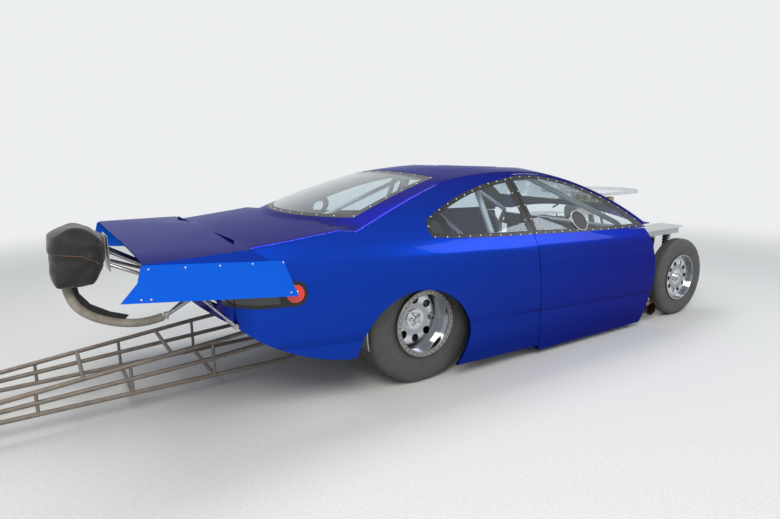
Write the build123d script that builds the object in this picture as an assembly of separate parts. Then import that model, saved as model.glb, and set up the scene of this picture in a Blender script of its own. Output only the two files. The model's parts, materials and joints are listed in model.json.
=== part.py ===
# Drag racing car: a two-door coupe body on a tube chassis, parked without its front bodywork.
# Stations: X forward from the rear axle, Y to the car's left, Z up from the ground, in millimetres.
# Every piece is moved along X on export, so that the part's origin is the middle of its footprint.
from build123d import *
from math import cos, pi, radians, sin, sqrt, tan
import os

os.makedirs("parts", exist_ok=True)

# Stance and overall reach
WHEELBASE = 2667
WHEELIE_AXLE_X = -2560
WHEELIE_WHEEL_R = 60
NOSE_X = 3160
TAIL_REACH = -WHEELIE_AXLE_X + WHEELIE_WHEEL_R
SHIFT_X = (TAIL_REACH - NOSE_X) / 2
FRONT_X = WHEELBASE

# Running and seating clearances
RUNNING = 0.06
SEAT = 0.3

# Rear wheels
REAR_TYRE_R = 385
REAR_TYRE_WIDTH = 432
REAR_WHEEL_FACE_Y = 820
REAR_RIM_R = 203
BEADLOCK_R = 210
BEADLOCK_T = 11
REAR_HOLES, REAR_HOLE_R, REAR_HOLE_CIRCLE_R = 8, 26, 125
AXLE_END_Y = 470
AXLE_TUBE_R = 45
AXLE_SHAFT_R = 20
AXLE_CENTRE_R = 135
LINK_PLATE_Y = 200
LINK_PLATE_T = 8

# Front wheels
FRONT_TYRE_R = 330
FRONT_TYRE_WIDTH = 116
FRONT_WHEEL_FACE_Y = 874
FRONT_RIM_R = 196
FRONT_HOLES, FRONT_HOLE_R, FRONT_HOLE_CIRCLE_R = 10, 20, 120
SPINDLE_R = 14
KINGPIN_Y = 715
BRAKE_R = 135
BRAKE_T = 10
BRAKE_Y = 777
BRAKE_GAP = 6

# Body walls and gaps
BODY_WALL = 20
DOOR_WALL = 42
GLASS = 5
DOOR_GAP = 5
DECK_SKIN = 8
SHOULDER_ROUND = 40
SHOULDER_END_X = 2100

# Body side in cross-section at BODY_STATION (y, z), as lines and arcs from under the sill up to the belt,
# and the arc of the side glass above it
BODY_STATION = 900
BODY_HALF_WIDTH = 921
SIDE_PANELS = [
    [(884, -300), (884, 60)],
    [(884, 60), (897, 190), (903, 330)],
    [(903, 330), (911, 350)],
    [(911, 350), (BODY_HALF_WIDTH, 560), (907, 780)],
    [(907, 780), (889, 827), (866, 872)],
]
SIDE_GLASS = [(866, 872), (742, 1062), (540, 1302)]
SIDE_TILT = 2.6
REAR_TAPER_X = 350
REAR_TAPER_R = 10500

# Roof, deck and belt on the centre line (x, z) as arcs and lines, with the crown radius across the car
ROOF_CROWN_R = 3300
ROOF_ARCS = [
    [(-760, 985), (-200, 1176), (262, 1292)],
    [(262, 1292), (740, 1324), (1240, 1302)],
    [(1240, 1302), (1740, 1166), (2230, 908)],
]
DECK_CROWN_R = 12000
DECK_ARCS = [[(-1300, 962), (-900, 999), (-560, 1034)]]
BELT_LINE = [(-560, 1034), (100, 958), (2300, 866)]

# Tail in plan (x, y): the rounded corner and the shallow arc across the back
TAIL_CORNER = [(-1000, 850), (-1120, 775), (-1190, 640)]
TAIL_ARC = [(-1190, 640), (-1236, 330), (-1250, 0)]

# Openings of the body in side view (x, z)
DOOR_REAR = [(935, 40), (905, 420), (862, 860)]
DOOR_FRONT = [(2095, 805), (2205, 430), (2085, 40)]
DOOR_FRAME = 8
DOOR_WINDOW_TOP = [(2096, 822), (1720, 1070), (1260, 1222)]
DOOR_WINDOW_REAR_TOP = [(1260, 1222), (1060, 1243), (876, 1238)]
DOOR_WINDOW_BOTTOM = [(876, 868), (1450, 838), (2096, 822)]
QUARTER_WINDOW_TOP = [(838, 1229), (440, 1170), (48, 1038)]
QUARTER_WINDOW_TAIL = [(48, 1038), (6, 984), (30, 921)]
QUARTER_WINDOW_BOTTOM = [(30, 921), (430, 888), (838, 869)]
SILL_FRONT = (2400, 46)
SILL_REAR = (200, 90)
ARCH_FRONT = [(204, 96), (262, 190), (293, 313)]
ARCH_TOP = [(293, 313), (37, 605), (-479, 371)]
ARCH_REAR = (-510, 292)
TAIL_RISE = [(-560, 288), (-860, 372), (-1160, 565)]
TAIL_RISE_END = (-1400, 640)
LAMP_TOP = [(-840, 775), (-1300, 790)]
LAMP_BOTTOM = [(-1300, 665), (-850, 642)]
LAMP_FRONT = [(-850, 642), (-790, 705), (-840, 775)]
LAMP_INNER_Y = 655

# Seams and cuts of the body (x, z)
SPLIT_BELT = [(-1300, -200), (-1300, 926), (-425, 926), (30, 912), (430, 878), (862, 858), (1000, 858),
              (1000, -200)]
TAIL_SEAM_X = -920
PILLAR_END_X = 2186
PILLAR_FOOT_Z = 834
FASCIA_OPENING = ((-1300, -1150), (-600, 600), (640, 900))

# Plan outlines of the glass and the deck: front middle x, front corner, middle of the side, rear corner (x, y)
# and rear middle x
WINDSHIELD = (2172, (1990, 684), (1560, 536), (1228, 482), 1248)
REAR_WINDOW = (226, (276, 520), (-60, 578), (-388, 640), -600)
DECK = (-630, (-430, 660), (-760, 704), (-1068, 716), -1084)

# Door hinges
HINGE_X = 2140
HINGE_Y = 852
HINGE_HEIGHTS = (400, 620)
HINGE_PIN_R = 6
HINGE_LUG_R = 13
HINGE_LUG_H = 36
HINGE_PLATE = 8

# Chassis tubes
RAIL_R = 22
CAGE_R = 20
CROSS_R = 19
BRACE_R = 16
STAY_R = 14
BAR_R = 13
STRUT_R = 9
FLOOR_RAIL_Z = 112
REAR_RAIL_Z = 606
ROCKER_Y = 812
INNER_RAIL_Y = 320
HOOP_X = 640
HOOP_TOP_Z = 1215
POST_X = 2118
POST_Y = 772
TAIL_TUBE_X = -1120
LINK_TUBE_X = 560
LINK_TUBE_Z = 430
SHOCK_TUBE_X = 150

# Front frame and suspension
TOWER_Z = 720
LOWER_FRONT_Y = 270
LOWER_FRONT_Z = 150
UPPER_FRONT = (300, 560)
CLIP_PIN_X = 3092
CLIP_PIN_Y = 180
CLIP_PIN_R = 6.5
STRUT_ROD_R = 11
STRUT_TUBE_R = 26
STRUT_TOP_Z = 560
KNUCKLE_LOW_Z = 215
BALL_STUD_R = 9
ARM_REACH = 125
ARM_Z = 250
RACK_X = FRONT_X + ARM_REACH
RACK_Z = ARM_Z - 24
RACK_R = 8
RACK_HOUSING_R = 17
RACK_HOUSING_Y = 280
RADIATOR_X = (3062, 3110)
RADIATOR_Z = (176.3, 520)

# Engine: a V8 at 90 degrees
CRANK_Z = 300
BLOCK_X = (2215, 2735)
PAN_Z = (172, 235)
DECK_REACH = 250
HEAD_REACH = 345
COVER_REACH = 422
HEAD_HALF = 95
HEAD_X = (2235, 2715)
COVER_HALF = 62
PORTS_X = (2287, 2409, 2531, 2653)
PORT_REACH = 297
PLENUM_Z = (800, 900)
PLENUM_X = (2265, 2685)
PLENUM_HALF = 72
CARB_X = (2360, 2590)
CARB_TOP_Z = 1012
TRAY_SHEET = 3
TRAY_LIP = 28
MOTOR_PLATE_T = 5
BELLHOUSING_R = 95
GEARBOX_Z = 256
TAILSHAFT_X = 1330

# Headers
PRIMARY_R = 24
PRIMARY_GRID = 25
PRIMARY_REACH = 130
COLLECTOR_R = 58
COLLECTOR_WALL = 3
COLLECTOR_INLET = (2318, 640, 124)
COLLECTOR_EXIT = (2292, 862, 110)

# Floor, tubs and tray sheets
SHEET = 4
FLOOR_Z = 78
BULKHEAD_X = 590
BULKHEAD_TOP_Z = 600
TUB_R = 425
TUB_INNER_Y = 362
TUB_OUTER_Y = 840

# Cabin
STEERING_WHEEL = (1548, 375, 694)
COLUMN_FOOT = (2140, 375, 532)

# Spoiler
SPOILER_SHEET = 6
PLATE_Y = 906
PLATE_SHEET = 4

# Parachute
PACK_CENTRE = (-1775, 0, 890)
PACK_SIZE = (280, 280, 330)
TETHER_R = 25
TETHER_ROUTE = [(-1850, 721), (-1838, 632), (-1775, 548), (-1668, 486), (-1545, 450), (-1440, 446),
                (-1366.5, 461)]


def moved(shape):
    return Pos(SHIFT_X, 0, 0) * shape


def save(name, *shapes):
    solids = [solid for shape in shapes for solid in shape.solids()]
    whole = solids[0] if len(solids) == 1 else Compound(solids)
    export_step(moved(whole), "parts/" + name + ".step")


def mirrored(shape):
    return mirror(shape, about=Plane.XZ)


def both(shape):
    return Compound(shape.solids() + mirrored(shape).solids())


def rod(start, end, radius):
    a, b = Vector(start), Vector(end)
    return Solid.make_cylinder(radius, (b - a).length, Plane(origin=a, z_dir=b - a))


def bent_tube(points, radius, bend):
    path = FilletPolyline(*points, radius=bend)
    return sweep(Plane(path @ 0, z_dir=path % 0) * Circle(radius), path=path)


def block(x, y, z):
    """Box from (low, high) pairs."""
    size = [high - low for low, high in (x, y, z)]
    centre = [(high + low) / 2 for low, high in (x, y, z)]
    return (Pos(*centre) * Box(*size)).solid()


def mirrored_pair(y, sign):
    """(low, high) of a pair of left-hand distances, on the side that sign gives."""
    return tuple(sorted((sign * y[0], sign * y[1])))


def fuse(shapes):
    whole = shapes[0]
    return whole.fuse(*shapes[1:]) if len(shapes) > 1 else whole


def main_solids(shape, least):
    """Drops crumbs that a cut leaves."""
    return [solid for solid in shape.solids() if solid.volume > least]


def drawn(points, place):
    """A line from two points or an arc from three, each put in space by place."""
    ends = [place(*point) for point in points]
    return Edge.make_three_point_arc(*ends) if len(ends) == 3 else Edge.make_line(*ends)


def in_side_view(x, z):
    return (x, 0, z)


def in_plan(x, y):
    return (x, y, 0)


def in_section(y, z):
    return (0, y, z)


def side_edges(*stretches):
    return [drawn(points, in_side_view) for points in stretches]


def side_prism(edges, grow, low_y, high_y):
    """Prism along Y from edges drawn in side view, whose outline is moved by grow, outwards where positive."""
    face = Face(Wire(edges))
    if grow:
        face = offset(face, amount=grow, kind=Kind.ARC).faces()[0]
    return extrude(Pos(0, low_y, 0) * face, amount=high_y - low_y, dir=(0, 1, 0))


def side_polygon(points, low_y, high_y):
    """Prism along Y from (x, z) corners."""
    wire = Wire.make_polygon([(x, low_y, z) for x, z in points], close=True)
    return extrude(Face(wire), amount=high_y - low_y, dir=(0, 1, 0)).solid()


def section_polygon(points, low_x, high_x):
    """Prism along X from (y, z) corners."""
    wire = Wire.make_polygon([(low_x, y, z) for y, z in points], close=True)
    return extrude(Face(wire), amount=high_x - low_x, dir=(1, 0, 0)).solid()


def spring(start, end, radius, wire, turns):
    """A coil spring as rings of one wire's depth about its line."""
    a, b = Vector(start), Vector(end)
    pitch = (b - a).length / turns
    points = [(0, 0)]
    for k in range(turns):
        points += [(radius - wire, k * pitch), (radius, (k + 0.5) * pitch)]
    points += [(radius - wire, turns * pitch), (0, turns * pitch)]
    profile = make_face(Polyline(*[(r, 0, z) for r, z in points], close=True))
    return (Plane(origin=a, z_dir=b - a) * revolve(profile, axis=Axis.Z)).solid()


# Body

def crowned(stretches, crown_r, low_z, half_angle):
    """Solid under a roof line, swept across the car about a far axis along X, so that it is crowned."""
    first, last = stretches[0][0], stretches[-1][-1]
    edges = side_edges(*stretches, [last, (last[0], low_z)], [(last[0], low_z), (first[0], low_z)],
                       [(first[0], low_z), first])
    axis_z = max(points[1][1] for points in stretches) - crown_r
    axis = Axis((0, 0, axis_z), (1, 0, 0))
    return revolve(Face(Wire(edges)).rotate(axis, -half_angle), axis=axis, revolution_arc=2 * half_angle)


def side_limits(wall, glass_wall):
    """Both body sides as one solid: straight along the doors, tapering in plan towards the tail."""
    low_z, top_z = SIDE_PANELS[0][0][1], SIDE_GLASS[-1][1]
    stretches = [[(y - wall, z) for y, z in points] for points in SIDE_PANELS]
    glass = [(y - glass_wall, z) for y, z in SIDE_GLASS]
    belt = (SIDE_GLASS[0][0] - (wall + glass_wall) / 2, SIDE_GLASS[0][1])
    stretches[-1][-1] = belt
    glass[0] = belt
    inner_y = -200
    stretches += [glass, [glass[-1], (inner_y, top_z)], [(inner_y, top_z), (inner_y, low_z)],
                  [(inner_y, low_z), stretches[0][0]]]
    face = Face(Wire([drawn(points, in_section) for points in stretches]))
    placed = Pos(REAR_TAPER_X, 0, 0) * face
    front = extrude(placed, amount=2600, dir=(1, 0, 0))
    axis = Axis((REAR_TAPER_X, BODY_HALF_WIDTH - REAR_TAPER_R, 0), (0, 0, 1))
    left = front.fuse(revolve(placed, axis=axis, revolution_arc=10))
    whole = left.fuse(mirrored(left))
    return whole.rotate(Axis((BODY_STATION, 0, SIDE_GLASS[0][1]), (0, 1, 0)), SIDE_TILT)


def tail_limit(wall):
    """Plan outline of the car's tail with its rounded corners, extruded upwards."""
    corner = [(x + wall, y - wall) for x, y in TAIL_CORNER]
    across = [(x + wall, y - wall) for x, y in TAIL_ARC]
    across[-1] = (TAIL_ARC[-1][0] + wall, 0)
    left = [corner, across]
    right = [[(x, -y) for x, y in reversed(points)] for points in reversed(left)]
    far_x, far_y = 2600, 1200
    start = corner[0]
    ring = [start, (start[0], far_y), (far_x, far_y), (far_x, -far_y), (start[0], -far_y), (start[0], -start[1])]
    stretches = left + right + [list(pair) for pair in zip(ring[::-1], ring[::-1][1:])]
    edges = [drawn(points, in_plan) for points in stretches]
    return extrude(Pos(0, 0, -400) * Face(Wire(edges)), amount=2000, dir=(0, 0, 1))


def lowered(stretches, amount):
    return [[(x, z - amount) for x, z in points] for points in stretches]


def body_form(wall, glass_wall, roof_wall, tail_wall):
    """The car's outer form, or with wall thicknesses given, the form of its inside."""
    roof = crowned(lowered(ROOF_ARCS, roof_wall), ROOF_CROWN_R, 560, 25)
    belt = [BELT_LINE[0:2], BELT_LINE[1:3]]
    deck = crowned(lowered(DECK_ARCS + belt, roof_wall), DECK_CROWN_R, -200, 7)
    return side_limits(wall, glass_wall) & roof.fuse(deck) & tail_limit(tail_wall)


def rounded_shoulders(form):
    """Rounds the edges where roof and deck run into the sides and the tail."""
    top_edges, wall_edges = set(), set()
    for face in form.faces():
        slope = face.normal_at().Z
        if slope > 0.75:
            top_edges.update(face.edges())
        elif slope > -0.5:
            wall_edges.update(face.edges())
    edges = [edge for edge in top_edges & wall_edges if (edge @ 0.5).X < SHOULDER_END_X]
    return fillet(edges, SHOULDER_ROUND)


def door_window_edges():
    return side_edges(DOOR_WINDOW_TOP, DOOR_WINDOW_REAR_TOP, [DOOR_WINDOW_REAR_TOP[-1], DOOR_WINDOW_BOTTOM[0]],
                      DOOR_WINDOW_BOTTOM)


def quarter_window_edges():
    return side_edges(QUARTER_WINDOW_TOP, QUARTER_WINDOW_TAIL, QUARTER_WINDOW_BOTTOM,
                      [QUARTER_WINDOW_BOTTOM[-1], QUARTER_WINDOW_TOP[0]])


def door_prism(grow):
    """Both doors' outline right across the car: the lower door and the window with its frame."""
    lower = side_edges(DOOR_REAR, [DOOR_REAR[-1], DOOR_FRONT[0]], DOOR_FRONT, [DOOR_FRONT[-1], DOOR_REAR[0]])
    panel = side_prism(lower, grow, -1000, 1000)
    return panel.fuse(side_prism(door_window_edges(), DOOR_FRAME + grow, -1000, 1000))


def plan_prism(outline, grow, low_z, high_z):
    """Prism along Z from a symmetric plan outline of four arcs, moved by grow, outwards where positive."""
    front_x, (corner_x, corner_y), (side_x, side_y), (rear_x, rear_y), back_x = outline
    stretches = [
        [(corner_x, -corner_y), (front_x, 0), (corner_x, corner_y)],
        [(corner_x, corner_y), (side_x, side_y), (rear_x, rear_y)],
        [(rear_x, rear_y), (back_x, 0), (rear_x, -rear_y)],
        [(rear_x, -rear_y), (side_x, -side_y), (corner_x, -corner_y)],
    ]
    face = Face(Wire([drawn(points, in_plan) for points in stretches]))
    if grow:
        face = offset(face, amount=grow, kind=Kind.ARC).faces()[0]
    return extrude(Pos(0, 0, low_z) * face, amount=high_z - low_z, dir=(0, 0, 1))


def below_body():
    """Everything under the sills, the rear arches and the tail."""
    far, low = 2400, -600
    edges = side_edges([(far, low), SILL_FRONT], [SILL_FRONT, SILL_REAR], [SILL_REAR, ARCH_FRONT[0]], ARCH_FRONT,
                       ARCH_TOP, [ARCH_TOP[-1], ARCH_REAR], [ARCH_REAR, TAIL_RISE[0]], TAIL_RISE,
                       [TAIL_RISE[-1], TAIL_RISE_END], [TAIL_RISE_END, (TAIL_RISE_END[0], low)],
                       [(TAIL_RISE_END[0], low), (far, low)])
    return side_prism(edges, 0, -1000, 1000)


def lamp_prisms(grow):
    """Tail lamp outline in side view, taken to each of the car's sides only."""
    edges = side_edges(LAMP_TOP, [LAMP_TOP[-1], LAMP_BOTTOM[0]], LAMP_BOTTOM, LAMP_FRONT)
    return both(side_prism(edges, grow, LAMP_INNER_Y - grow, 1000))


class Body:
    """The forms that every outer panel and pane is cut from, made once."""

    def __init__(self):
        self.skin = rounded_shoulders(body_form(0, 0, 0, 0))
        self.hollow = body_form(BODY_WALL, BODY_WALL, BODY_WALL, BODY_WALL)
        self.door_hollow = body_form(DOOR_WALL, BODY_WALL, BODY_WALL, BODY_WALL)
        self.pane_back = body_form(GLASS, GLASS, GLASS, GLASS)
        self.deck_back = body_form(DECK_SKIN, DECK_SKIN, DECK_SKIN, DECK_SKIN)


def body_panels(body):
    """Greenhouse, quarter panels and bumper cover, cut from one skin and split at their seams."""
    shell = body.skin - body.hollow
    cuts = [
        door_prism(DOOR_GAP),
        below_body(),
        side_prism(quarter_window_edges(), 0, -1000, 1000),
        plan_prism(WINDSHIELD, 0, 780, 1400),
        plan_prism(REAR_WINDOW, 0, 940, 1400),
        plan_prism(DECK, 0, 930, 1200),
        block((PILLAR_END_X, 2800), (-1200, 1200), (-400, 1400)),
        block((1990, 2800), (-1200, 1200), (-400, PILLAR_FOOT_Z)),
        block(*FASCIA_OPENING),
    ]
    for cut in cuts + lamp_prisms(0).solids():
        shell = shell - cut
    belt_edges = side_edges(*[list(pair) for pair in zip(SPLIT_BELT, SPLIT_BELT[1:] + SPLIT_BELT[:1])])
    below = side_prism(belt_edges, 0, -1200, 1200)
    tail_box = block((-1300, TAIL_SEAM_X), (-1200, 1200), (0, 1400))
    tail = shell & tail_box
    fore = shell - tail_box
    lower = (fore & below) - block((-2000, 3000), (-400, 400), (0, 2000))
    return fore - lower, lower, tail


def build_body(body):
    upper, lower, tail = body_panels(body)
    save("body_greenhouse", *main_solids(upper, 1e5))
    for solid in main_solids(lower, 1e5):
        side = "left" if solid.center().Y > 0 else "right"
        save("quarter_panel_" + side, solid)
    save("bumper_cover", *main_solids(tail, 1e5))
    pane = body.skin - body.pane_back
    save("windshield", pane & plan_prism(WINDSHIELD, -SEAT, 780, 1400))
    save("rear_window", pane & plan_prism(REAR_WINDOW, -SEAT, 940, 1400))
    save("quarter_windows", pane & side_prism(quarter_window_edges(), -SEAT, -1000, 1000))
    save("deck_panel", (body.skin - body.deck_back) & plan_prism(DECK, -SEAT, 930, 1200))
    lamps = (body.skin - body.door_hollow) & lamp_prisms(-SEAT)
    save("tail_lamps", *main_solids(lamps, 1e4))
    build_doors(body, pane)
    return tail


def build_doors(body, pane):
    """Hinged at the front on two pins; skin, frame and inner panel in one."""
    door = (body.skin - body.door_hollow) & door_prism(0)
    window = door_window_edges()
    door = door - side_prism(window, 0, -1000, 1000)
    panes = pane & side_prism(window, -SEAT, -1000, 1000)
    for side, sign in (("right", -1), ("left", 1)):
        half = [solid for solid in main_solids(door, 1e5) if solid.center().Y * sign > 0][0]
        for z in HINGE_HEIGHTS:
            lug = Pos(HINGE_X, sign * HINGE_Y, z) * Cylinder(HINGE_LUG_R, HINGE_LUG_H)
            arm = block((HINGE_X - HINGE_LUG_R, HINGE_X + HINGE_LUG_R), mirrored_pair((HINGE_Y, HINGE_Y + 40), sign),
                        (z - HINGE_LUG_H / 2, z + HINGE_LUG_H / 2))
            pin = Pos(HINGE_X, sign * HINGE_Y, z) * Cylinder(HINGE_PIN_R + RUNNING, 2 * HINGE_LUG_H)
            half = half.fuse(lug + arm) - pin
        save("door_" + side, half)
        save("door_window_" + side, [s for s in panes.solids() if s.center().Y * sign > 0][0])


def door_hinges():
    """Hinge pins between two plates on the front pillar tubes."""
    pieces = []
    half_lug = HINGE_LUG_H / 2 + 1
    for z in HINGE_HEIGHTS:
        pin = Pos(HINGE_X, HINGE_Y, z) * Cylinder(HINGE_PIN_R, 2 * (half_lug + HINGE_PLATE))
        plates = [block((HINGE_X - 30, HINGE_X + 10), (POST_Y + 5, HINGE_Y + 9), plate_z)
                  for plate_z in ((z + half_lug, z + half_lug + HINGE_PLATE),
                                  (z - half_lug - HINGE_PLATE, z - half_lug))]
        pieces.append(fuse([pin.solid()] + plates))
    return pieces


# Chassis

def build_frame_rails():
    """Floor rails, cross tubes, the link brackets and the rear rails that arch over the axle."""
    tubes = []
    for s in (-1, 1):
        tubes.append(rod((HOOP_X, s * ROCKER_Y, FLOOR_RAIL_Z), (POST_X, s * ROCKER_Y, FLOOR_RAIL_Z), RAIL_R))
        tubes.append(bent_tube([
            (POST_X, s * INNER_RAIL_Y, FLOOR_RAIL_Z),
            (450, s * INNER_RAIL_Y, FLOOR_RAIL_Z),
            (250, s * INNER_RAIL_Y, REAR_RAIL_Z),
            (TAIL_TUBE_X, s * INNER_RAIL_Y, REAR_RAIL_Z),
        ], RAIL_R, 90))
        tubes.append(rod((TAIL_TUBE_X, s * INNER_RAIL_Y, REAR_RAIL_Z), (TAIL_TUBE_X, s * 590, REAR_RAIL_Z), CROSS_R))
        tubes.append(rod((LINK_TUBE_X, s * INNER_RAIL_Y, FLOOR_RAIL_Z), (LINK_TUBE_X, s * INNER_RAIL_Y, LINK_TUBE_Z),
                         BRACE_R))
        tubes.append(rod((LINK_TUBE_X, s * INNER_RAIL_Y, LINK_TUBE_Z), (322, s * INNER_RAIL_Y, LINK_TUBE_Z), STAY_R))
        tubes.append(block((LINK_TUBE_X - 30, LINK_TUBE_X + 24), link_plate_y(s), (FLOOR_RAIL_Z, LINK_TUBE_Z)))
    for x in (HOOP_X, 1330, POST_X):
        tubes.append(rod((x, -ROCKER_Y, FLOOR_RAIL_Z), (x, ROCKER_Y, FLOOR_RAIL_Z), CROSS_R))
    tubes.append(rod((LINK_TUBE_X, -INNER_RAIL_Y, FLOOR_RAIL_Z), (LINK_TUBE_X, INNER_RAIL_Y, FLOOR_RAIL_Z), CROSS_R))
    tubes.append(rod((LINK_TUBE_X, -INNER_RAIL_Y, LINK_TUBE_Z), (LINK_TUBE_X, INNER_RAIL_Y, LINK_TUBE_Z), STAY_R))
    for x, radius in ((SHOCK_TUBE_X, BRACE_R), (-330, CROSS_R), (TAIL_TUBE_X, CROSS_R)):
        tubes.append(rod((x, -INNER_RAIL_Y, REAR_RAIL_Z), (x, INNER_RAIL_Y, REAR_RAIL_Z), radius))
    rails = fuse(tubes)
    save("frame_rails", rails)
    return rails


def link_plate_y(sign):
    return mirrored_pair((LINK_PLATE_Y - LINK_PLATE_T / 2, LINK_PLATE_Y + LINK_PLATE_T / 2), sign)


def build_roll_cage(rails):
    """Main hoop, halo, front pillars, side bars and rear stays."""
    side_y = ROCKER_Y - 20
    tubes = [bent_tube([
        (HOOP_X, -side_y, FLOOR_RAIL_Z),
        (HOOP_X, -side_y, 700),
        (HOOP_X, -500, HOOP_TOP_Z),
        (HOOP_X, 500, HOOP_TOP_Z),
        (HOOP_X, side_y, 700),
        (HOOP_X, side_y, FLOOR_RAIL_Z),
    ], CAGE_R, 110)]
    for s in (-1, 1):
        tubes.append(bent_tube([
            (HOOP_X, s * 420, HOOP_TOP_Z),
            (1230, s * 440, HOOP_TOP_Z),
            (2050, s * 640, 830),
            (POST_X, s * POST_Y, 700),
            (POST_X, s * POST_Y, FLOOR_RAIL_Z),
        ], CAGE_R, 60))
        tubes.append(rod((HOOP_X, s * 790, 620), (POST_X, s * POST_Y, 250), BRACE_R))
        tubes.append(rod((HOOP_X, s * 790, 300), (1330, s * ROCKER_Y, FLOOR_RAIL_Z), BRACE_R))
        tubes.append(rod((HOOP_X, s * 470, 1180), (TAIL_TUBE_X + 20, s * INNER_RAIL_Y, REAR_RAIL_Z), BRACE_R))
        tubes.append(rod((HOOP_X, s * 300, 640), (262, s * INNER_RAIL_Y, REAR_RAIL_Z - 6), BRACE_R))
    tubes.append(rod((1230, -440, HOOP_TOP_Z), (1230, 440, HOOP_TOP_Z), CROSS_R))
    tubes.append(rod((2072, -690, 790), (2072, 690, 790), BRACE_R))
    tubes.append(rod((HOOP_X, -side_y, 640), (HOOP_X, side_y, 640), BRACE_R))
    tubes.append(rod((HOOP_X, -760, 655), (HOOP_X, 440, 1200), STAY_R))
    cage = fuse(tubes) - rails
    save("roll_cage", *main_solids(cage, 1e5))
    hinges = [(hinge - cage).solids()[0] for hinge in door_hinges()]
    save("door_hinges", *hinges, *[mirrored(hinge) for hinge in hinges])
    return cage


def build_front_frame(rails, cage):
    """Lower rails, upper rails, strut towers, rack housing and the radiator hoop ahead of the firewall."""
    hoop_x = NOSE_X - RAIL_R
    upper_r = BAR_R + 3
    upper_y, upper_z = UPPER_FRONT
    tubes = []
    for s in (-1, 1):
        low = s * LOWER_FRONT_Y
        tubes.append(bent_tube([
            (POST_X, s * INNER_RAIL_Y, FLOOR_RAIL_Z),
            (2300, low, LOWER_FRONT_Z - 10),
            (hoop_x, low, LOWER_FRONT_Z),
        ], RAIL_R, 200))
        tubes.append(rod((POST_X, s * POST_Y, 690), (FRONT_X - 40, s * 560, TOWER_Z - 30), upper_r))
        tubes.append(rod((FRONT_X + 40, s * 560, TOWER_Z - 30), (hoop_x, s * upper_y, upper_z), upper_r))
        for dx in (-90, 90):
            tubes.append(rod((FRONT_X + dx, s * 500, TOWER_Z - 30), (FRONT_X + dx, low, LOWER_FRONT_Z - 5), upper_r))
        tubes.append(block((FRONT_X - 110, FRONT_X + 110), mirrored_pair((480, 560), s), (TOWER_Z - 50, TOWER_Z)))
        tubes.append(block((FRONT_X - 60, FRONT_X + 60), mirrored_pair((540, KINGPIN_Y + 45), s),
                           (TOWER_Z - 12, TOWER_Z)))
        tubes.append(rod((hoop_x, low, LOWER_FRONT_Z), (hoop_x, s * upper_y, upper_z), upper_r))
        tubes.append(rod((RACK_X, s * 250, LOWER_FRONT_Z), (RACK_X, s * 250, RACK_Z), BAR_R - 1))
        tubes.append(block((CLIP_PIN_X - 18, hoop_x), mirrored_pair((CLIP_PIN_Y - 25, CLIP_PIN_Y + 25), s),
                           (576, 582)))
        tubes.append(block((3065, hoop_x), mirrored_pair((170, 200), s), (166, RADIATOR_Z[0] - SEAT)))
    tubes.append(rod((RACK_X, -RACK_HOUSING_Y, RACK_Z), (RACK_X, RACK_HOUSING_Y, RACK_Z), RACK_HOUSING_R))
    tubes.append(block((3095, 3125), (-20, 20), (RADIATOR_Z[1] + SEAT, upper_z - 4)))
    for x, z, y in ((hoop_x, LOWER_FRONT_Z, LOWER_FRONT_Y), (hoop_x, upper_z, upper_y),
                    (2480, LOWER_FRONT_Z - 10, LOWER_FRONT_Y)):
        tubes.append(rod((x, -y, z), (x, y, z), RAIL_R - 1))
    frame = fuse(tubes) - rails - cage
    frame = frame - rod((RACK_X, -400, RACK_Z), (RACK_X, 400, RACK_Z), RACK_R + RUNNING)
    for s in (-1, 1):
        frame = frame - Pos(CLIP_PIN_X, s * CLIP_PIN_Y, 580) * Cylinder(CLIP_PIN_R, 60)
        frame = frame - Pos(FRONT_X, s * KINGPIN_Y, TOWER_Z) * Cylinder(STRUT_ROD_R + SEAT, 100)
    save("front_frame", *main_solids(frame, 1e5))
    return frame


def build_struts():
    """Strut rods and springs that hang from the towers; the rods slide in the tubes on the knuckles."""
    top = TOWER_Z + 24
    shaft = rod((FRONT_X, KINGPIN_Y, STRUT_TOP_Z - 60), (FRONT_X, KINGPIN_Y, top), STRUT_ROD_R)
    cap = rod((FRONT_X, KINGPIN_Y, TOWER_Z + SEAT), (FRONT_X, KINGPIN_Y, top), 28)
    coil = spring((FRONT_X, KINGPIN_Y, STRUT_TOP_Z + 6), (FRONT_X, KINGPIN_Y, TOWER_Z - 30), 36, 8, 6)
    upper_seat = rod((FRONT_X, KINGPIN_Y, TOWER_Z - 32), (FRONT_X, KINGPIN_Y, TOWER_Z - 22), 36)
    save("front_struts", both(fuse([shaft, cap, coil, upper_seat])))


def build_control_arms():
    """Lower arms from the frame out to the ball stud below each knuckle."""
    foot_z = KNUCKLE_LOW_Z - 30
    stud = rod((FRONT_X, KINGPIN_Y, foot_z), (FRONT_X, KINGPIN_Y, KNUCKLE_LOW_Z + 10), BALL_STUD_R)
    boss = rod((FRONT_X, KINGPIN_Y, foot_z - 12), (FRONT_X, KINGPIN_Y, foot_z + 12), 22)
    legs = [rod((FRONT_X, KINGPIN_Y, foot_z), (FRONT_X + dx, LOWER_FRONT_Y, 158), BAR_R) for dx in (-150, 150)]
    rail = rod((2300, LOWER_FRONT_Y, LOWER_FRONT_Z - 10), (NOSE_X - RAIL_R, LOWER_FRONT_Y, LOWER_FRONT_Z),
               RAIL_R + SEAT)
    arm = fuse([stud, boss] + legs) - rail
    save("control_arms", both(main_solids(arm, 1e4)[0]))


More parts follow.
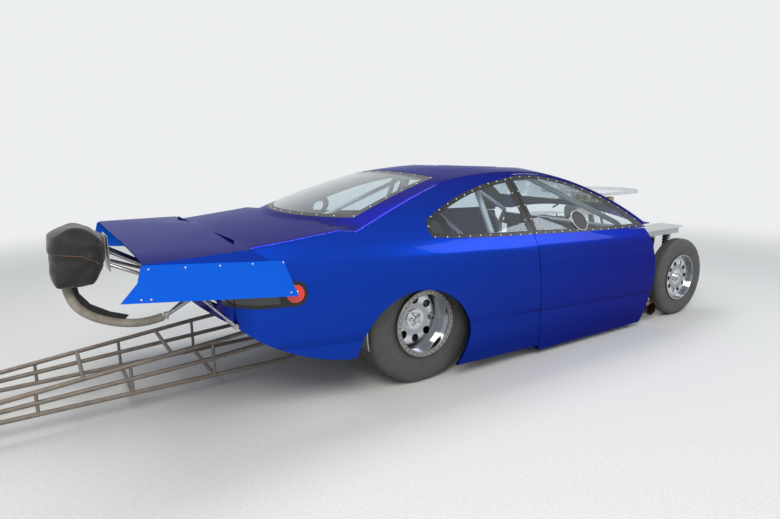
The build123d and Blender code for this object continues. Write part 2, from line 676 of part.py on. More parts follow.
def build_knuckles():
    """Strut tube, spindle, steering arm and brake caliper that turn together on the kingpin line."""
    stem_low, stem_high = (FRONT_X, KINGPIN_Y, KNUCKLE_LOW_Z), (FRONT_X, KINGPIN_Y, STRUT_TOP_Z)
    hub = (FRONT_X, KINGPIN_Y, FRONT_TYRE_R)
    tube = rod(stem_low, stem_high, STRUT_TUBE_R)
    spindle = rod(hub, (FRONT_X, KINGPIN_Y + 118, FRONT_TYRE_R), SPINDLE_R)
    carrier = rod(hub, (FRONT_X, KINGPIN_Y + 38, FRONT_TYRE_R), 38)
    arm = rod((FRONT_X, KINGPIN_Y, ARM_Z), (FRONT_X + ARM_REACH, KINGPIN_Y - 25, ARM_Z), 10)
    bracket = block((FRONT_X - 150, FRONT_X), (KINGPIN_Y + 26, KINGPIN_Y + 36),
                    (FRONT_TYRE_R - 24, FRONT_TYRE_R + 24))
    half_brake = BRAKE_T / 2 + BRAKE_GAP
    caliper = block((FRONT_X - BRAKE_R - 28, FRONT_X - BRAKE_R + 42), (KINGPIN_Y + 36, BRAKE_Y + half_brake + 10),
                    (FRONT_TYRE_R - 42, FRONT_TYRE_R + 42))
    slot = [(FRONT_X, BRAKE_Y + dy, FRONT_TYRE_R) for dy in (-half_brake, half_brake)]
    caliper = caliper - rod(*slot, BRAKE_R + BRAKE_GAP)
    body = fuse([tube, spindle, carrier, arm, bracket] + caliper.solids())
    body = body - rod((FRONT_X, KINGPIN_Y, STRUT_TOP_Z - 230), (FRONT_X, KINGPIN_Y, STRUT_TOP_Z + 30),
                      STRUT_ROD_R + RUNNING)
    body = body - rod((FRONT_X, KINGPIN_Y, KNUCKLE_LOW_Z - 30), (FRONT_X, KINGPIN_Y, KNUCKLE_LOW_Z + 30),
                      BALL_STUD_R + RUNNING)
    left = main_solids(body, 1e5)[0]
    save("knuckle_left", left)
    save("knuckle_right", mirrored(left))


def build_steering_rack():
    """Rack bar and tie rods across the car, sliding in the housing ahead of the front axle."""
    y = KINGPIN_Y - 25
    save("steering_rack", rod((RACK_X, -y, RACK_Z), (RACK_X, y, RACK_Z), RACK_R))


# Wheels

def ring(points):
    """Ring about the Y axis from (radius, y) points."""
    outline = Polyline(*[(r, y, 0) for r, y in points], close=True)
    return revolve(make_face(outline), axis=Axis.Y).solid()


def save_sided(name, shape, sign, x, y, z):
    """Saves a left-hand wheel piece, mirrored for the right, at its wheel's centre."""
    save(name + ("_left" if sign > 0 else "_right"), Pos(x, sign * y, z) * (shape if sign > 0 else mirrored(shape)))


def tyre(tyre_r, bead_r, width, shoulder):
    """Slick tyre: flat tread, rounded-off shoulders and bulged walls, as a ring centred on its own middle."""
    half = width / 2
    tread = half - 17
    wall_r = (tyre_r + bead_r) / 2
    return ring([(bead_r, 14 - half), (wall_r, -half), (tyre_r - shoulder, 4 - half), (tyre_r, -tread),
                 (tyre_r, tread), (tyre_r - shoulder, half - 4), (wall_r, half), (bead_r, half - 14)])


def holes(count, circle_r, hole_r, low_y, high_y):
    """Pins along Y on a circle, to drill a wheel centre with."""
    return [rod((circle_r * cos(radians(360 * k / count)), low_y, circle_r * sin(radians(360 * k / count))),
                (circle_r * cos(radians(360 * k / count)), high_y, circle_r * sin(radians(360 * k / count))), hole_r)
            for k in range(count)]


def build_rear_wheels():
    """Deep bead-lock rims with drilled centres, on shafts that run in the axle housing."""
    half = REAR_TYRE_WIDTH / 2
    inner_r = REAR_RIM_R - 10
    barrel = ring([(REAR_RIM_R - SEAT, 12 - half), (REAR_RIM_R - SEAT, half - BEADLOCK_T),
                   (BEADLOCK_R, half - BEADLOCK_T), (BEADLOCK_R, half), (inner_r, half), (inner_r, 12 - half)])
    centre = ring([(0, 76), (inner_r + 4, 96), (inner_r + 4, 106), (62, 92), (62, 100), (0, 100)])
    rim = barrel.fuse(centre)
    for pin in holes(REAR_HOLES, REAR_HOLE_CIRCLE_R, REAR_HOLE_R, 40, 140):
        rim = rim - pin
    middle_y = REAR_WHEEL_FACE_Y - half
    rim = rim.fuse(rod((0, 90, 0), (0, AXLE_END_Y - 70 - middle_y, 0), AXLE_SHAFT_R))
    slick = tyre(REAR_TYRE_R, REAR_RIM_R, REAR_TYRE_WIDTH - 14, 26)
    for sign in (-1, 1):
        save_sided("rear_rim", rim, sign, 0, middle_y, REAR_TYRE_R)
        save_sided("rear_tyre", slick, sign, 0, middle_y - 5, REAR_TYRE_R)


def build_front_wheels():
    """Narrow rims with a ring of holes and a brake disc, turning on the knuckle spindles."""
    half = FRONT_TYRE_WIDTH / 2
    middle_y = FRONT_WHEEL_FACE_Y - half
    inner_r = FRONT_RIM_R - 8
    outer_r = FRONT_RIM_R - SEAT
    barrel = ring([(outer_r, 8 - half), (outer_r, half - 4), (inner_r, half - 4), (inner_r, 8 - half)])
    centre = ring([(0, 4), (inner_r + 2, 14), (inner_r + 2, 22), (46, 18), (46, 26), (0, 26)])
    rim = barrel.fuse(centre)
    for pin in holes(FRONT_HOLES, FRONT_HOLE_CIRCLE_R, FRONT_HOLE_R, -20, 50):
        rim = rim - pin
    disc_y = BRAKE_Y - middle_y
    hub = rod((0, disc_y - BRAKE_T / 2, 0), (0, 26, 0), 30)
    disc = rod((0, disc_y - BRAKE_T / 2, 0), (0, disc_y + BRAKE_T / 2, 0), BRAKE_R)
    rim = rim.fuse(hub, disc) - rod((0, -60, 0), (0, 18, 0), SPINDLE_R + RUNNING)
    slick = tyre(FRONT_TYRE_R, FRONT_RIM_R, FRONT_TYRE_WIDTH, 26)
    for sign in (-1, 1):
        save_sided("front_rim", rim, sign, FRONT_X, middle_y, FRONT_TYRE_R)
        save_sided("front_tyre", slick, sign, FRONT_X, middle_y, FRONT_TYRE_R)


# Rear axle, links and wheelie bars

def build_rear_axle():
    """Axle housing with its centre section, link plates and the shaft bores at its ends."""
    z = REAR_TYRE_R
    tube = rod((0, -AXLE_END_Y, z), (0, AXLE_END_Y, z), AXLE_TUBE_R)
    centre = rod((0, -110, z), (0, 110, z), AXLE_CENTRE_R)
    nose = rod((100, 0, z), (250, 0, z - 12), 55)
    plates = [block((-90, 115), link_plate_y(s), (z - 190, z + 75)) for s in (-1, 1)]
    housing = fuse([tube, centre, nose] + plates)
    for s in (-1, 1):
        housing = housing - rod((0, s * (AXLE_END_Y - 75), z), (0, s * (AXLE_END_Y + 5), z), AXLE_SHAFT_R + RUNNING)
    save("rear_axle_housing", housing)
    return housing


def build_rear_suspension():
    """Two links a side from the axle plates to the frame brackets, and a coil spring over each damper."""
    face_y = LINK_PLATE_Y + LINK_PLATE_T / 2
    link_y = face_y + 11
    pieces = []
    for axle_z, frame_z in ((REAR_TYRE_R - 150, 190), (REAR_TYRE_R + 45, LINK_TUBE_Z - 45)):
        ends = [(75, axle_z), (LINK_TUBE_X - 8, frame_z)]
        eyes = [rod((x, face_y, z), (x, face_y + 22, z), 16) for x, z in ends]
        bar = rod((ends[0][0], link_y, ends[0][1]), (ends[1][0], link_y, ends[1][1]), 10)
        pieces.append(fuse([bar] + eyes))
    foot, head = (95, 268, REAR_TYRE_R - 85), (SHOCK_TUBE_X, 268, REAR_RAIL_Z)
    pin = rod((foot[0], face_y, foot[2]), (foot[0], foot[1] + 14, foot[2]), 10)
    damper = rod(foot, head, 12)
    line = Vector(*head) - Vector(*foot)
    coil_ends = [Vector(*foot) + line * share for share in (0.16, 0.86)]
    coil = spring(*coil_ends, 31, 7, 7)
    tube = rod((SHOCK_TUBE_X, 0, REAR_RAIL_Z), (SHOCK_TUBE_X, 400, REAR_RAIL_Z), BRACE_R + SEAT)
    pieces.append(main_solids(fuse([pin, damper, coil]) - tube, 1e5)[0])
    save("rear_suspension", *[both(piece) for piece in pieces])


def build_wheelie_bars(housing):
    """Two trusses behind the axle, tied together, with their wheels on one axle."""
    end_x = WHEELIE_AXLE_X + 30
    knee_x, low_knee_x = -1150, -700
    upper = [(-60, REAR_TYRE_R + 70), (knee_x, 332), (end_x, 185)]
    middle = [(-60, REAR_TYRE_R - 60), (knee_x, 232), (end_x, 150)]
    lower = [(-60, REAR_TYRE_R - 170), (low_knee_x, 130), (end_x, 110)]
    root_y, wide_y, end_y = LINK_PLATE_Y + 14, 260, 230

    def y_at(x):
        return end_y + (wide_y - end_y) * (x - end_x) / (knee_x - end_x) if x < knee_x else wide_y

    def z_on(line, x):
        for (x0, z0), (x1, z1) in zip(line, line[1:]):
            if x1 <= x <= x0:
                return z0 + (z1 - z0) * (x - x0) / (x1 - x0)

    left = []
    for line in (upper, middle, lower):
        ys = [root_y, y_at(line[1][0]), end_y]
        points = [(x, y, z) for (x, z), y in zip(line, ys)]
        left += [rod(a, b, BAR_R) for a, b in zip(points, points[1:])]
        left.append(rod((line[0][0], LINK_PLATE_Y, line[0][1]), (line[0][0], root_y + 14, line[0][1]), BAR_R + 3))
    left.append(rod((end_x, end_y, 185), (end_x, end_y, 110), BAR_R + 1))
    for x in (-700, -1150, -1600, -2050):
        left.append(rod((x, y_at(x), z_on(lower, x)), (x, y_at(x), z_on(upper, x)), STRUT_R))
    left.append(rod((end_x, end_y, 110), (WHEELIE_AXLE_X, end_y, 110), BAR_R + 1))
    tubes = left + [mirrored(tube).solid() for tube in left]
    for x, line in ((-1150, lower), (-1600, lower), (-1380, upper), (-1830, upper), (-2280, lower)):
        y, z = y_at(x), z_on(line, x)
        tubes.append(rod((x, -y, z), (x, y, z), STRUT_R + 2))
    tubes.append(rod((WHEELIE_AXLE_X, -250, 110), (WHEELIE_AXLE_X, 250, 110), 16))
    bars = fuse(tubes) - housing
    bars = bars - rod((WHEELIE_AXLE_X, -300, 110), (WHEELIE_AXLE_X, 300, 110), 8 + RUNNING)
    save("wheelie_bars", *main_solids(bars, 1e5))
    axle = rod((WHEELIE_AXLE_X, -300, 110), (WHEELIE_AXLE_X, 300, 110), 8)
    wheels = [rod((WHEELIE_AXLE_X, s * 262, 110), (WHEELIE_AXLE_X, s * 300, 110), WHEELIE_WHEEL_R) for s in (-1, 1)]
    save("wheelie_wheels", fuse([axle] + wheels))


# Engine

def bank(reach, across):
    """(y, z) on the left cylinder bank: reach along it from the crankshaft, and across it to the exhaust side."""
    lean = sqrt(0.5)
    return (reach + across) * lean, CRANK_Z + (reach - across) * lean


def bank_prism(x, reach, across, chamfer_size=0):
    """Left-bank block from (low, high) pairs along the car, along the bank and across it."""
    (r0, r1), (a0, a1), c = reach, across, chamfer_size
    corners = [(r0, a0), (r1 - c, a0), (r1, a0 + c), (r1, a1 - c), (r1 - c, a1), (r0, a1)]
    corners = [corner for k, corner in enumerate(corners) if c or k not in (2, 4)]
    return section_polygon([bank(*corner) for corner in corners], *x)


def build_engine():
    """Block with its pan and front drive, heads, covers, tunnel-ram intake and two carburettors."""
    deck_in, deck_out = bank(DECK_REACH, -HEAD_HALF), bank(DECK_REACH, HEAD_HALF)
    half = [(135, PAN_Z[1]), (150, CRANK_Z + 25), deck_out, deck_in, (40, deck_in[1] - 40)]
    casting = section_polygon(half + [(-y, z) for y, z in reversed(half)], *BLOCK_X)
    pan = block((BLOCK_X[0] + 15, BLOCK_X[1] - 15), (-120, 120), PAN_Z)
    distributor = rod((2238, 0, deck_in[1] - 60), (2238, 0, 640), 20).fuse(rod((2238, 0, 640), (2238, 0, 720), 42))
    pulley_x = BLOCK_X[1] + MOTOR_PLATE_T
    drive = fuse([
        rod((pulley_x, 0, CRANK_Z), (pulley_x + 27, 0, CRANK_Z), 74),
        rod((pulley_x, 0, CRANK_Z + 130), (pulley_x + 34, 0, CRANK_Z + 130), 58),
        block((pulley_x, pulley_x + 18), (-40, 40), (CRANK_Z, CRANK_Z + 130)),
    ])
    save("engine_block", fuse([casting, pan, distributor.solid()]), drive)
    head = bank_prism(HEAD_X, (DECK_REACH, HEAD_REACH), (-HEAD_HALF, HEAD_HALF))
    save("cylinder_heads", both(head))
    cover = bank_prism((HEAD_X[0] + 10, HEAD_X[1] - 10), (HEAD_REACH, COVER_REACH), (-COVER_HALF, COVER_HALF), 14)
    breather_y, breather_z = bank(COVER_REACH - 6, 0)
    tip_y, tip_z = bank(COVER_REACH + 34, 0)
    breather = rod((HEAD_X[1] - 90, breather_y, breather_z), (HEAD_X[1] - 90, tip_y, tip_z), 24)
    save("valve_covers", both(cover.fuse(breather).solid()))
    build_intake(head)


def build_intake(head):
    """Eight runners from the heads up to a plenum box, with a carburettor on each of its pads."""
    flange = bank_prism((2262, 2678), (PORT_REACH - 36, PORT_REACH + 36), (-HEAD_HALF - 8, -HEAD_HALF))
    flange_y, flange_z = bank(PORT_REACH, -HEAD_HALF - 3)
    runners = [rod((x, 45, PLENUM_Z[0] + 20), (x, flange_y, flange_z), 26) for x in PORTS_X]
    plenum = Pos(sum(PLENUM_X) / 2, 0, sum(PLENUM_Z) / 2) * Box(
        PLENUM_X[1] - PLENUM_X[0], 2 * PLENUM_HALF, PLENUM_Z[1] - PLENUM_Z[0])
    plenum = fillet(plenum.edges().filter_by(Axis.X), 22).solid()
    pads = [block((x - 84, x + 84), (-66, 66), (PLENUM_Z[1] - 30, PLENUM_Z[1] + 8)) for x in CARB_X]
    half = [flange] + runners
    whole = fuse([plenum] + pads + half + [mirrored(piece).solid() for piece in half])
    for side in both(head).solids():
        whole = whole - side
    save("intake_manifold", *main_solids(whole, 1e6))
    base_z = PLENUM_Z[1] + 8
    carburettors = []
    for x in CARB_X:
        bowls = [block((x + s * 58 - 20, x + s * 58 + 20), (-46, 46), (base_z + 10, base_z + 58)) for s in (-1, 1)]
        links = rod((x - 20, -62, base_z + 20), (x - 20, 62, base_z + 20), 5)
        horn = rod((x, 0, base_z + 50), (x, 0, CARB_TOP_Z), 55)
        carburettors.append(fuse([
            block((x - 80, x + 80), (-62, 62), (base_z, base_z + 12)),
            block((x - 52, x + 52), (-50, 50), (base_z + 12, base_z + 62)), horn, links] + bowls))
    save("carburettors", *carburettors)


def build_carb_tray():
    """Sealing tray on top of the carburettors: a sheet with an upturned lip and a curved front."""
    corners = [(2240, 340), (2760, 345), (2985, 0)]
    stretches = [
        [corners[0], corners[1]],
        [corners[1], corners[2], (corners[1][0], -corners[1][1])],
        [(corners[1][0], -corners[1][1]), (corners[0][0], -corners[0][1])],
        [(corners[0][0], -corners[0][1]), corners[0]],
    ]
    face = Face(Wire([drawn(points, in_plan) for points in stretches]))
    inner = offset(face, amount=-5, kind=Kind.ARC).faces()[0]
    whole = extrude(Pos(0, 0, CARB_TOP_Z) * face, amount=TRAY_LIP, dir=(0, 0, 1))
    well = extrude(Pos(0, 0, CARB_TOP_Z + TRAY_SHEET) * inner, amount=TRAY_LIP, dir=(0, 0, 1))
    save("carb_tray", whole - well)


def build_motor_plates():
    """Aluminium plates across the front and the back of the engine, standing on the frame."""
    front = [(292, 170), (292, 215), (190, 420), (-190, 420), (-292, 215), (-292, 170)]
    rear = [(312, 150), (312, 190), (200, 360), (-200, 360), (-312, 190), (-312, 150)]
    save("motor_plates", section_polygon(front, BLOCK_X[1], BLOCK_X[1] + MOTOR_PLATE_T),
         section_polygon(rear, BLOCK_X[0] - MOTOR_PLATE_T, BLOCK_X[0]))


def build_headers():
    """Four primary pipes a side that gather into an open collector behind the front wheel."""
    inlet, outlet = Vector(*COLLECTOR_INLET), Vector(*COLLECTOR_EXIT)
    along = (outlet - inlet).normalized()
    cross = along.cross(Vector(0, 0, 1)).normalized()
    up = cross.cross(along)
    port = bank(PORT_REACH, HEAD_HALF + 4)
    knee = bank(PORT_REACH, HEAD_HALF + PRIMARY_REACH)
    pieces = [bank_prism((HEAD_X[0] + 15, HEAD_X[1] - 15), (PORT_REACH - 27, PORT_REACH + 27),
                         (HEAD_HALF, HEAD_HALF + 9))]
    for x, (side, rise) in zip(PORTS_X, ((-1, -1), (-1, 1), (1, -1), (1, 1))):
        shift = cross * (PRIMARY_GRID * side) * -1 + up * (PRIMARY_GRID * rise)
        entry = inlet + along * 12 + shift
        approach = inlet - along * 112 + shift
        route = [(x, *port), (x, *knee), tuple(approach), tuple(entry)]
        pieces.append(bent_tube(route, PRIMARY_R, 62).solid())
    pieces.append(rod(COLLECTOR_INLET, COLLECTOR_EXIT, COLLECTOR_R))
    header = fuse(pieces)
    mouth = Plane(origin=outlet - along * 170, z_dir=along)
    header = header - Solid.make_cylinder(COLLECTOR_R - COLLECTOR_WALL, 200, mouth)
    save("headers", both(main_solids(header, 1e5)[0]))


def build_drive_line(housing):
    """Gearbox behind the rear motor plate, and the shaft back to the axle."""
    gearbox = rod((TAILSHAFT_X, 0, GEARBOX_Z), (BLOCK_X[0] - MOTOR_PLATE_T, 0, GEARBOX_Z), BELLHOUSING_R)
    save("transmission", gearbox)
    shaft = rod((245, 0, REAR_TYRE_R - 12), (TAILSHAFT_X + 15, 0, GEARBOX_Z), 40) - gearbox - housing
    save("driveshaft", *main_solids(shaft, 1e6))


def build_radiator():
    """Core between two side tanks, hung in the nose hoop."""
    core = block((RADIATOR_X[0] + 8, RADIATOR_X[1] - 8), (-190, 190), RADIATOR_Z)
    tanks = [block(RADIATOR_X, mirrored_pair((180, 232), s), (RADIATOR_Z[0], RADIATOR_Z[1] - 10)) for s in (-1, 1)]
    save("radiator", fuse([core] + tanks))


# Cabin, floor and wheel tubs

def build_seat():
    """Bucket seat with side bolsters, standing on the inner floor rail."""
    low_y, high_y, bolster = 150, 600, 34
    foot_z = FLOOR_RAIL_Z + RAIL_R + SEAT
    outline = [(1290, foot_z), (1310, 330), (1180, 376), (990, 330), (920, 560), (862, 900), (800, 985), (735, 960),
               (706, 900), (770, 520), (800, foot_z)]
    bowl = [(1400, 280), (1150, 300), (960, 230), (850, 540), (792, 905), (792, 1100), (1400, 1100)]
    shell = side_polygon(outline, low_y, high_y)
    shell = shell - side_polygon(bowl, low_y + bolster, high_y - bolster)
    save("driver_seat", *main_solids(shell, 1e5))


def build_steering_column():
    """Wheel, column and the instrument panel that the column is bracketed to."""
    wheel_centre, foot = Vector(*STEERING_WHEEL), Vector(*COLUMN_FOOT)
    along = (foot - wheel_centre).normalized()
    plane = Plane(origin=wheel_centre, z_dir=along)
    rim = plane * Solid.make_torus(160, 14)
    column = rod(wheel_centre, foot, 14)
    hub = rod(wheel_centre, wheel_centre + along * 30, 34)
    spokes = [plane * rod((0, 0, 0), (160 * cos(radians(a)), 160 * sin(radians(a)), 0), 8) for a in (90, 210, 330)]
    panel = block((2046, 2055.7), (60, 640), (690, 800))
    bracket = block((2040, 2050), (355, 395), (545, 700))
    save("steering_column", fuse([column, rim, hub] + spokes + [panel, bracket]))


def build_floor():
    """Floor with its tunnel and rear bulkhead, and the tin deck above the rear rails."""
    top_z = FLOOR_RAIL_Z - RAIL_R - SEAT
    front_x = 2140
    half = 834
    step_x = TAILSHAFT_X - 40
    floor = block((BULKHEAD_X, front_x), (-half, half), (FLOOR_Z, top_z))
    bulkhead = block((BULKHEAD_X, BULKHEAD_X + SHEET), (-855, 855), (FLOOR_Z, BULKHEAD_TOP_Z))

    def arch(low_x, high_x, radius, centre_z):
        crown = rod((low_x, 0, centre_z), (high_x, 0, centre_z), radius)
        return crown.fuse(block((low_x, high_x), (-radius, radius), (FLOOR_Z, centre_z)))

    def tunnel(low_x, high_x, radius, centre_z):
        return arch(low_x, high_x, radius, centre_z) - arch(low_x - 5, high_x + 5, radius - SHEET, centre_z)

    large = tunnel(step_x, front_x, BELLHOUSING_R + 29, 257)
    small = tunnel(BULKHEAD_X, step_x + SHEET, 84, 312)
    step = arch(step_x, step_x + SHEET, BELLHOUSING_R + 29, 257) - arch(step_x - 5, step_x + 10, 84 - SHEET, 312)
    shelf = block((360, BULKHEAD_X + SHEET), (445, 855), (BULKHEAD_TOP_Z, BULKHEAD_TOP_Z + SHEET))
    shelf = shelf - rod((0, 0, REAR_TYRE_R), (0, 900, REAR_TYRE_R), TUB_R + SHEET + 2 + SEAT)
    whole = fuse([floor, bulkhead] + large.solids() + small.solids() + step.solids() + shelf.solids()
                 + mirrored(shelf).solids())
    whole = whole - block((BULKHEAD_X - 5, BULKHEAD_X + SHEET + 5), (-60, 60), (270, 396))
    for s in (-1, 1):
        rail_ends = [(BULKHEAD_X + dx, s * INNER_RAIL_Y, FLOOR_RAIL_Z) for dx in (-10, 20)]
        whole = whole - rod(*rail_ends, RAIL_R + SEAT)
    for x in (HOOP_X, 1330, POST_X):
        whole = whole - rod((x, -200, FLOOR_RAIL_Z), (x, 200, FLOOR_RAIL_Z), CROSS_R + SEAT)
    deck_z = REAR_RAIL_Z + RAIL_R + SEAT
    deck = block((-950, 262), (-TUB_INNER_Y + SEAT, TUB_INNER_Y - SEAT), (deck_z, deck_z + SHEET))
    edge_x = BULKHEAD_X + SHEET
    ramp = side_polygon([(258, deck_z), (edge_x, BULKHEAD_TOP_Z), (edge_x, BULKHEAD_TOP_Z + SHEET),
                         (258, deck_z + SHEET)], -280, 280)
    save("floor_pan", *main_solids(fuse([whole, deck, ramp]), 1e5))


def build_firewall(frame):
    wall = block((2144, 2150), (-700, 700), (84, 780))
    wall = wall - frame - rod((2000, 0, 260), (2300, 0, 260), BELLHOUSING_R + 5)
    save("firewall", *main_solids(wall, 1e5))


def build_wheel_tubs():
    """Half-round tin tubs over the rear tyres, closed on their inner side."""
    wall = SHEET + 2
    z = REAR_TYRE_R
    outer = rod((0, TUB_INNER_Y, z), (0, TUB_OUTER_Y, z), TUB_R + wall)
    tub = outer - rod((0, TUB_INNER_Y + SHEET, z), (0, TUB_OUTER_Y + 5, z), TUB_R)
    tub = tub - block((-500, 500), (0, 1000), (-200, 300))
    tub = tub - block((-60, 60), (0, TUB_INNER_Y + 20), (0, z + 60))
    save("wheel_tubs", both(main_solids(tub, 1e5)[0]))


def build_fender_trays(frame):
    """Tin shelves over the front suspension, on short posts from the upper rails."""
    z = 748
    plan = [(2200, 800), (2200, 610), (2520, 560), (2850, 540), (2850, 745), (2700, 800)]
    face = Face(Wire.make_polygon([(x, y, z) for x, y in plan], close=True))
    sheet = extrude(face, amount=SHEET, dir=(0, 0, 1)).solid()
    lip = block((2200, 2700), (796, 800), (z - 40, z + 2))
    posts = [rod((2330, 684, 690), (2330, 684, z + 2), 8), rod((2730, 560, 670), (2730, 560, z + 2), 8)]
    tray = fuse([sheet, lip] + posts) - frame
    save("fender_trays", both(main_solids(tray, 1e5)[0]))


# Spoiler and parachute

def folded_sheet(triangles, sheet):
    """Sheet metal folded along the shared edges of triangles given by their top corners."""
    solids = []
    for corners in triangles:
        high = [Vector(*corner) for corner in corners]
        low = [corner - Vector(0, 0, sheet) for corner in high]
        faces = [Face(Wire.make_polygon(ends, close=True)) for ends in (high, low)]
        for i in range(3):
            j = (i + 1) % 3
            faces.append(Face(Wire.make_polygon([high[i], high[j], low[j], low[i]], close=True)))
        solids.append(Solid(Shell(faces)))
    return fuse(solids)


def build_spoiler(body, tail):
    """Flat deck behind the boot whose outer strips fold down to the side plates, on a flange and struts."""
    edge_y = PLATE_Y - SEAT
    front, front_corner, front_tip = (-1076, 0, 998), (-1076, 860, 968), (-1010, edge_y, 914)
    rear, rear_corner, rear_tip = (-1590, 0, 990), (-1590, 730, 984), (-1580, edge_y, 959)
    triangles = [(front, front_corner, rear_corner), (front, rear_corner, rear),
                 (front_corner, front_tip, rear_tip), (front_corner, rear_tip, rear_corner)]
    half = folded_sheet(triangles, SPOILER_SHEET)
    flange = block((-1102, -1096), (-640, 640), (900, 990)) - Pos(0, 0, SEAT) * body.skin
    deck = fuse([half.solid(), mirrored(half).solid()] + main_solids(flange, 1e4))
    save("spoiler_deck", deck)
    outline = [(-1588, 958), (-1500, 952), (-940, 905), (-866, 712), (-1684, 800), (-1610, 880)]
    for side, sign in (("right", -1), ("left", 1)):
        low_y, high_y = mirrored_pair((PLATE_Y, PLATE_Y + PLATE_SHEET), sign)
        save("spoiler_plate_" + side, side_polygon(outline, low_y, high_y))
    mount, brace_low, brace_high = (-1150, 745, 560), (-1245, 590, 690), (-1230, 728, 652)
    spacers = [rod((x, 760, 737), (x, PLATE_Y, 737), 7) - Pos(0, SEAT, 0) * body.skin for x in (-905, -870)]
    strut = rod(mount, (-1545, 700, 990), 7).fuse(rod(brace_low, brace_high, 5)) - deck - tail
    pieces = [main_solids(piece, 1e3)[-1] for piece in spacers]
    pieces.append(max(main_solids(strut, 1e3), key=lambda solid: solid.volume))
    save("spoiler_struts", *[both(piece) for piece in pieces])


def build_parachute(rails):
    """Packed bag on a plate, its tubes from the frame, and the anchor and sleeve of its tether."""
    pack = Pos(*PACK_CENTRE) * Box(*PACK_SIZE)
    save("parachute_pack", fillet(pack.edges(), 40))
    face_x = PACK_CENTRE[0] + PACK_SIZE[0] / 2 + SEAT
    pieces = [block((face_x, face_x + 5), (-110, 110), (790, 990))]
    for s in (-1, 1):
        pieces.append(rod((face_x + 2, s * 60, 905), (TAIL_TUBE_X, s * 60, REAR_RAIL_Z), BAR_R))
        pieces.append(rod((face_x + 2, s * 90, 830), (TAIL_TUBE_X, s * 250, REAR_RAIL_Z), STRUT_R + 1))
        pieces.append(rod((TAIL_TUBE_X, s * 60, REAR_RAIL_Z), (-1345, s * 4, 466), STRUT_R))
    pieces.append(block((-1361, -1335), (-14, 14), (446, 486)))
    mount = fuse(pieces) - rails - block((face_x - 50, face_x), (-200, 200), (700, 1060))
    save("parachute_mount", *main_solids(mount, 1e5))
    radii = []
    for a, b, c in zip(TETHER_ROUTE, TETHER_ROUTE[1:], TETHER_ROUTE[2:]):
        before, after = Vector(b[0] - a[0], b[1] - a[1]), Vector(c[0] - b[0], c[1] - b[1])
        half_turn = radians(before.get_angle(after)) / 2
        radii.append(0.45 * min(before.length, after.length) / tan(half_turn))
    print("tether radii", [round(radius) for radius in radii])
    path = FilletPolyline(*[(x, 0, z) for x, z in TETHER_ROUTE], radius=radii)
    tether = sweep(Plane(path @ 0, z_dir=path % 0) * Circle(TETHER_R), path=path)
    ratio = tether.volume / (path.length * pi * TETHER_R ** 2)
    print("tether length", round(path.length), "volume ratio", round(ratio, 4))
    save("parachute_tether", tether)


BODY = Body()
TAIL = build_body(BODY)
RAILS = build_frame_rails()
CAGE = build_roll_cage(RAILS)
FRAME = build_front_frame(RAILS, CAGE)
build_struts()
build_control_arms()
build_knuckles()
build_steering_rack()
build_rear_wheels()
build_front_wheels()
HOUSING = build_rear_axle()
build_rear_suspension()
build_wheelie_bars(HOUSING)
build_engine()
build_carb_tray()
build_motor_plates()
build_headers()
build_drive_line(HOUSING)
build_radiator()
build_seat()
build_steering_column()
build_floor()
build_firewall(FRAME)
build_wheel_tubs()
build_fender_trays(FRAME)
build_spoiler(BODY, TAIL)
build_parachute(RAILS)
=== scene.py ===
# Drag racing car: the finish of every surface, and the fine pieces that sit on its solids.
# Metres, X forward, Y to the car's left, Z up from the ground.
import bmesh
import bpy
import json
from math import atan2, cos, hypot, pi, radians, sin
from mathutils import Matrix, Vector, noise
from mathutils.bvhtree import BVHTree

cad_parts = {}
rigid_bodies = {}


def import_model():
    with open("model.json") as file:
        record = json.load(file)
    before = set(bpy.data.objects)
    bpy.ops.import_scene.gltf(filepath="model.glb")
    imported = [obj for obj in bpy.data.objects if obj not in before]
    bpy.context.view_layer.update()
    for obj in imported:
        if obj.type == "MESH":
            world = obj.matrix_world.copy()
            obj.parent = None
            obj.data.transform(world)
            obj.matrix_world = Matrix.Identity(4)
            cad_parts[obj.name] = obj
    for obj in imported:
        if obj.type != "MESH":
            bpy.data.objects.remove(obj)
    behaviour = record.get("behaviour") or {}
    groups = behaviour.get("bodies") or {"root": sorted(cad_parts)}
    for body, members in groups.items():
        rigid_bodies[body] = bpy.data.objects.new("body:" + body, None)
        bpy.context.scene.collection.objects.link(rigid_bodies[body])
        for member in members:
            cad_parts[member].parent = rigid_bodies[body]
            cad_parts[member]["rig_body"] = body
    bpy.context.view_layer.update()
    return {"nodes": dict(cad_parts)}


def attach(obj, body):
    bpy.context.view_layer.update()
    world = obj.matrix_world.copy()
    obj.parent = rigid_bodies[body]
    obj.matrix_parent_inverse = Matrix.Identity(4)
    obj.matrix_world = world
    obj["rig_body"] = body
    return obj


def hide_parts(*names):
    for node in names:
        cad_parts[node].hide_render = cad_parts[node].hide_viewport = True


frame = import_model()

MM = 0.001
SIDES = (("right", -1), ("left", 1))
# Stations on the car are measured in millimetres from the rear axle, which lies this far from the origin
REAR_AXLE_X = -270
WHEELBASE = 2667
REAR_WHEEL_Y, REAR_WHEEL_Z = 604, 385
FRONT_WHEEL_Y, FRONT_WHEEL_Z = 816, 330


def at(x, y, z):
    """A station on the car, in millimetres, as a place in metres."""
    return Vector(((x + REAR_AXLE_X) * MM, y * MM, z * MM))


# Camera
CAMERA_PLACE = at(-1948, -3478, 1441)
CAMERA_YAW, CAMERA_PITCH, CAMERA_ROLL = 32.461, 11.214, -0.648
FRAME_WIDTH_PX = 780
FOCAL_PX = 558.4
SENSOR_MM = 36


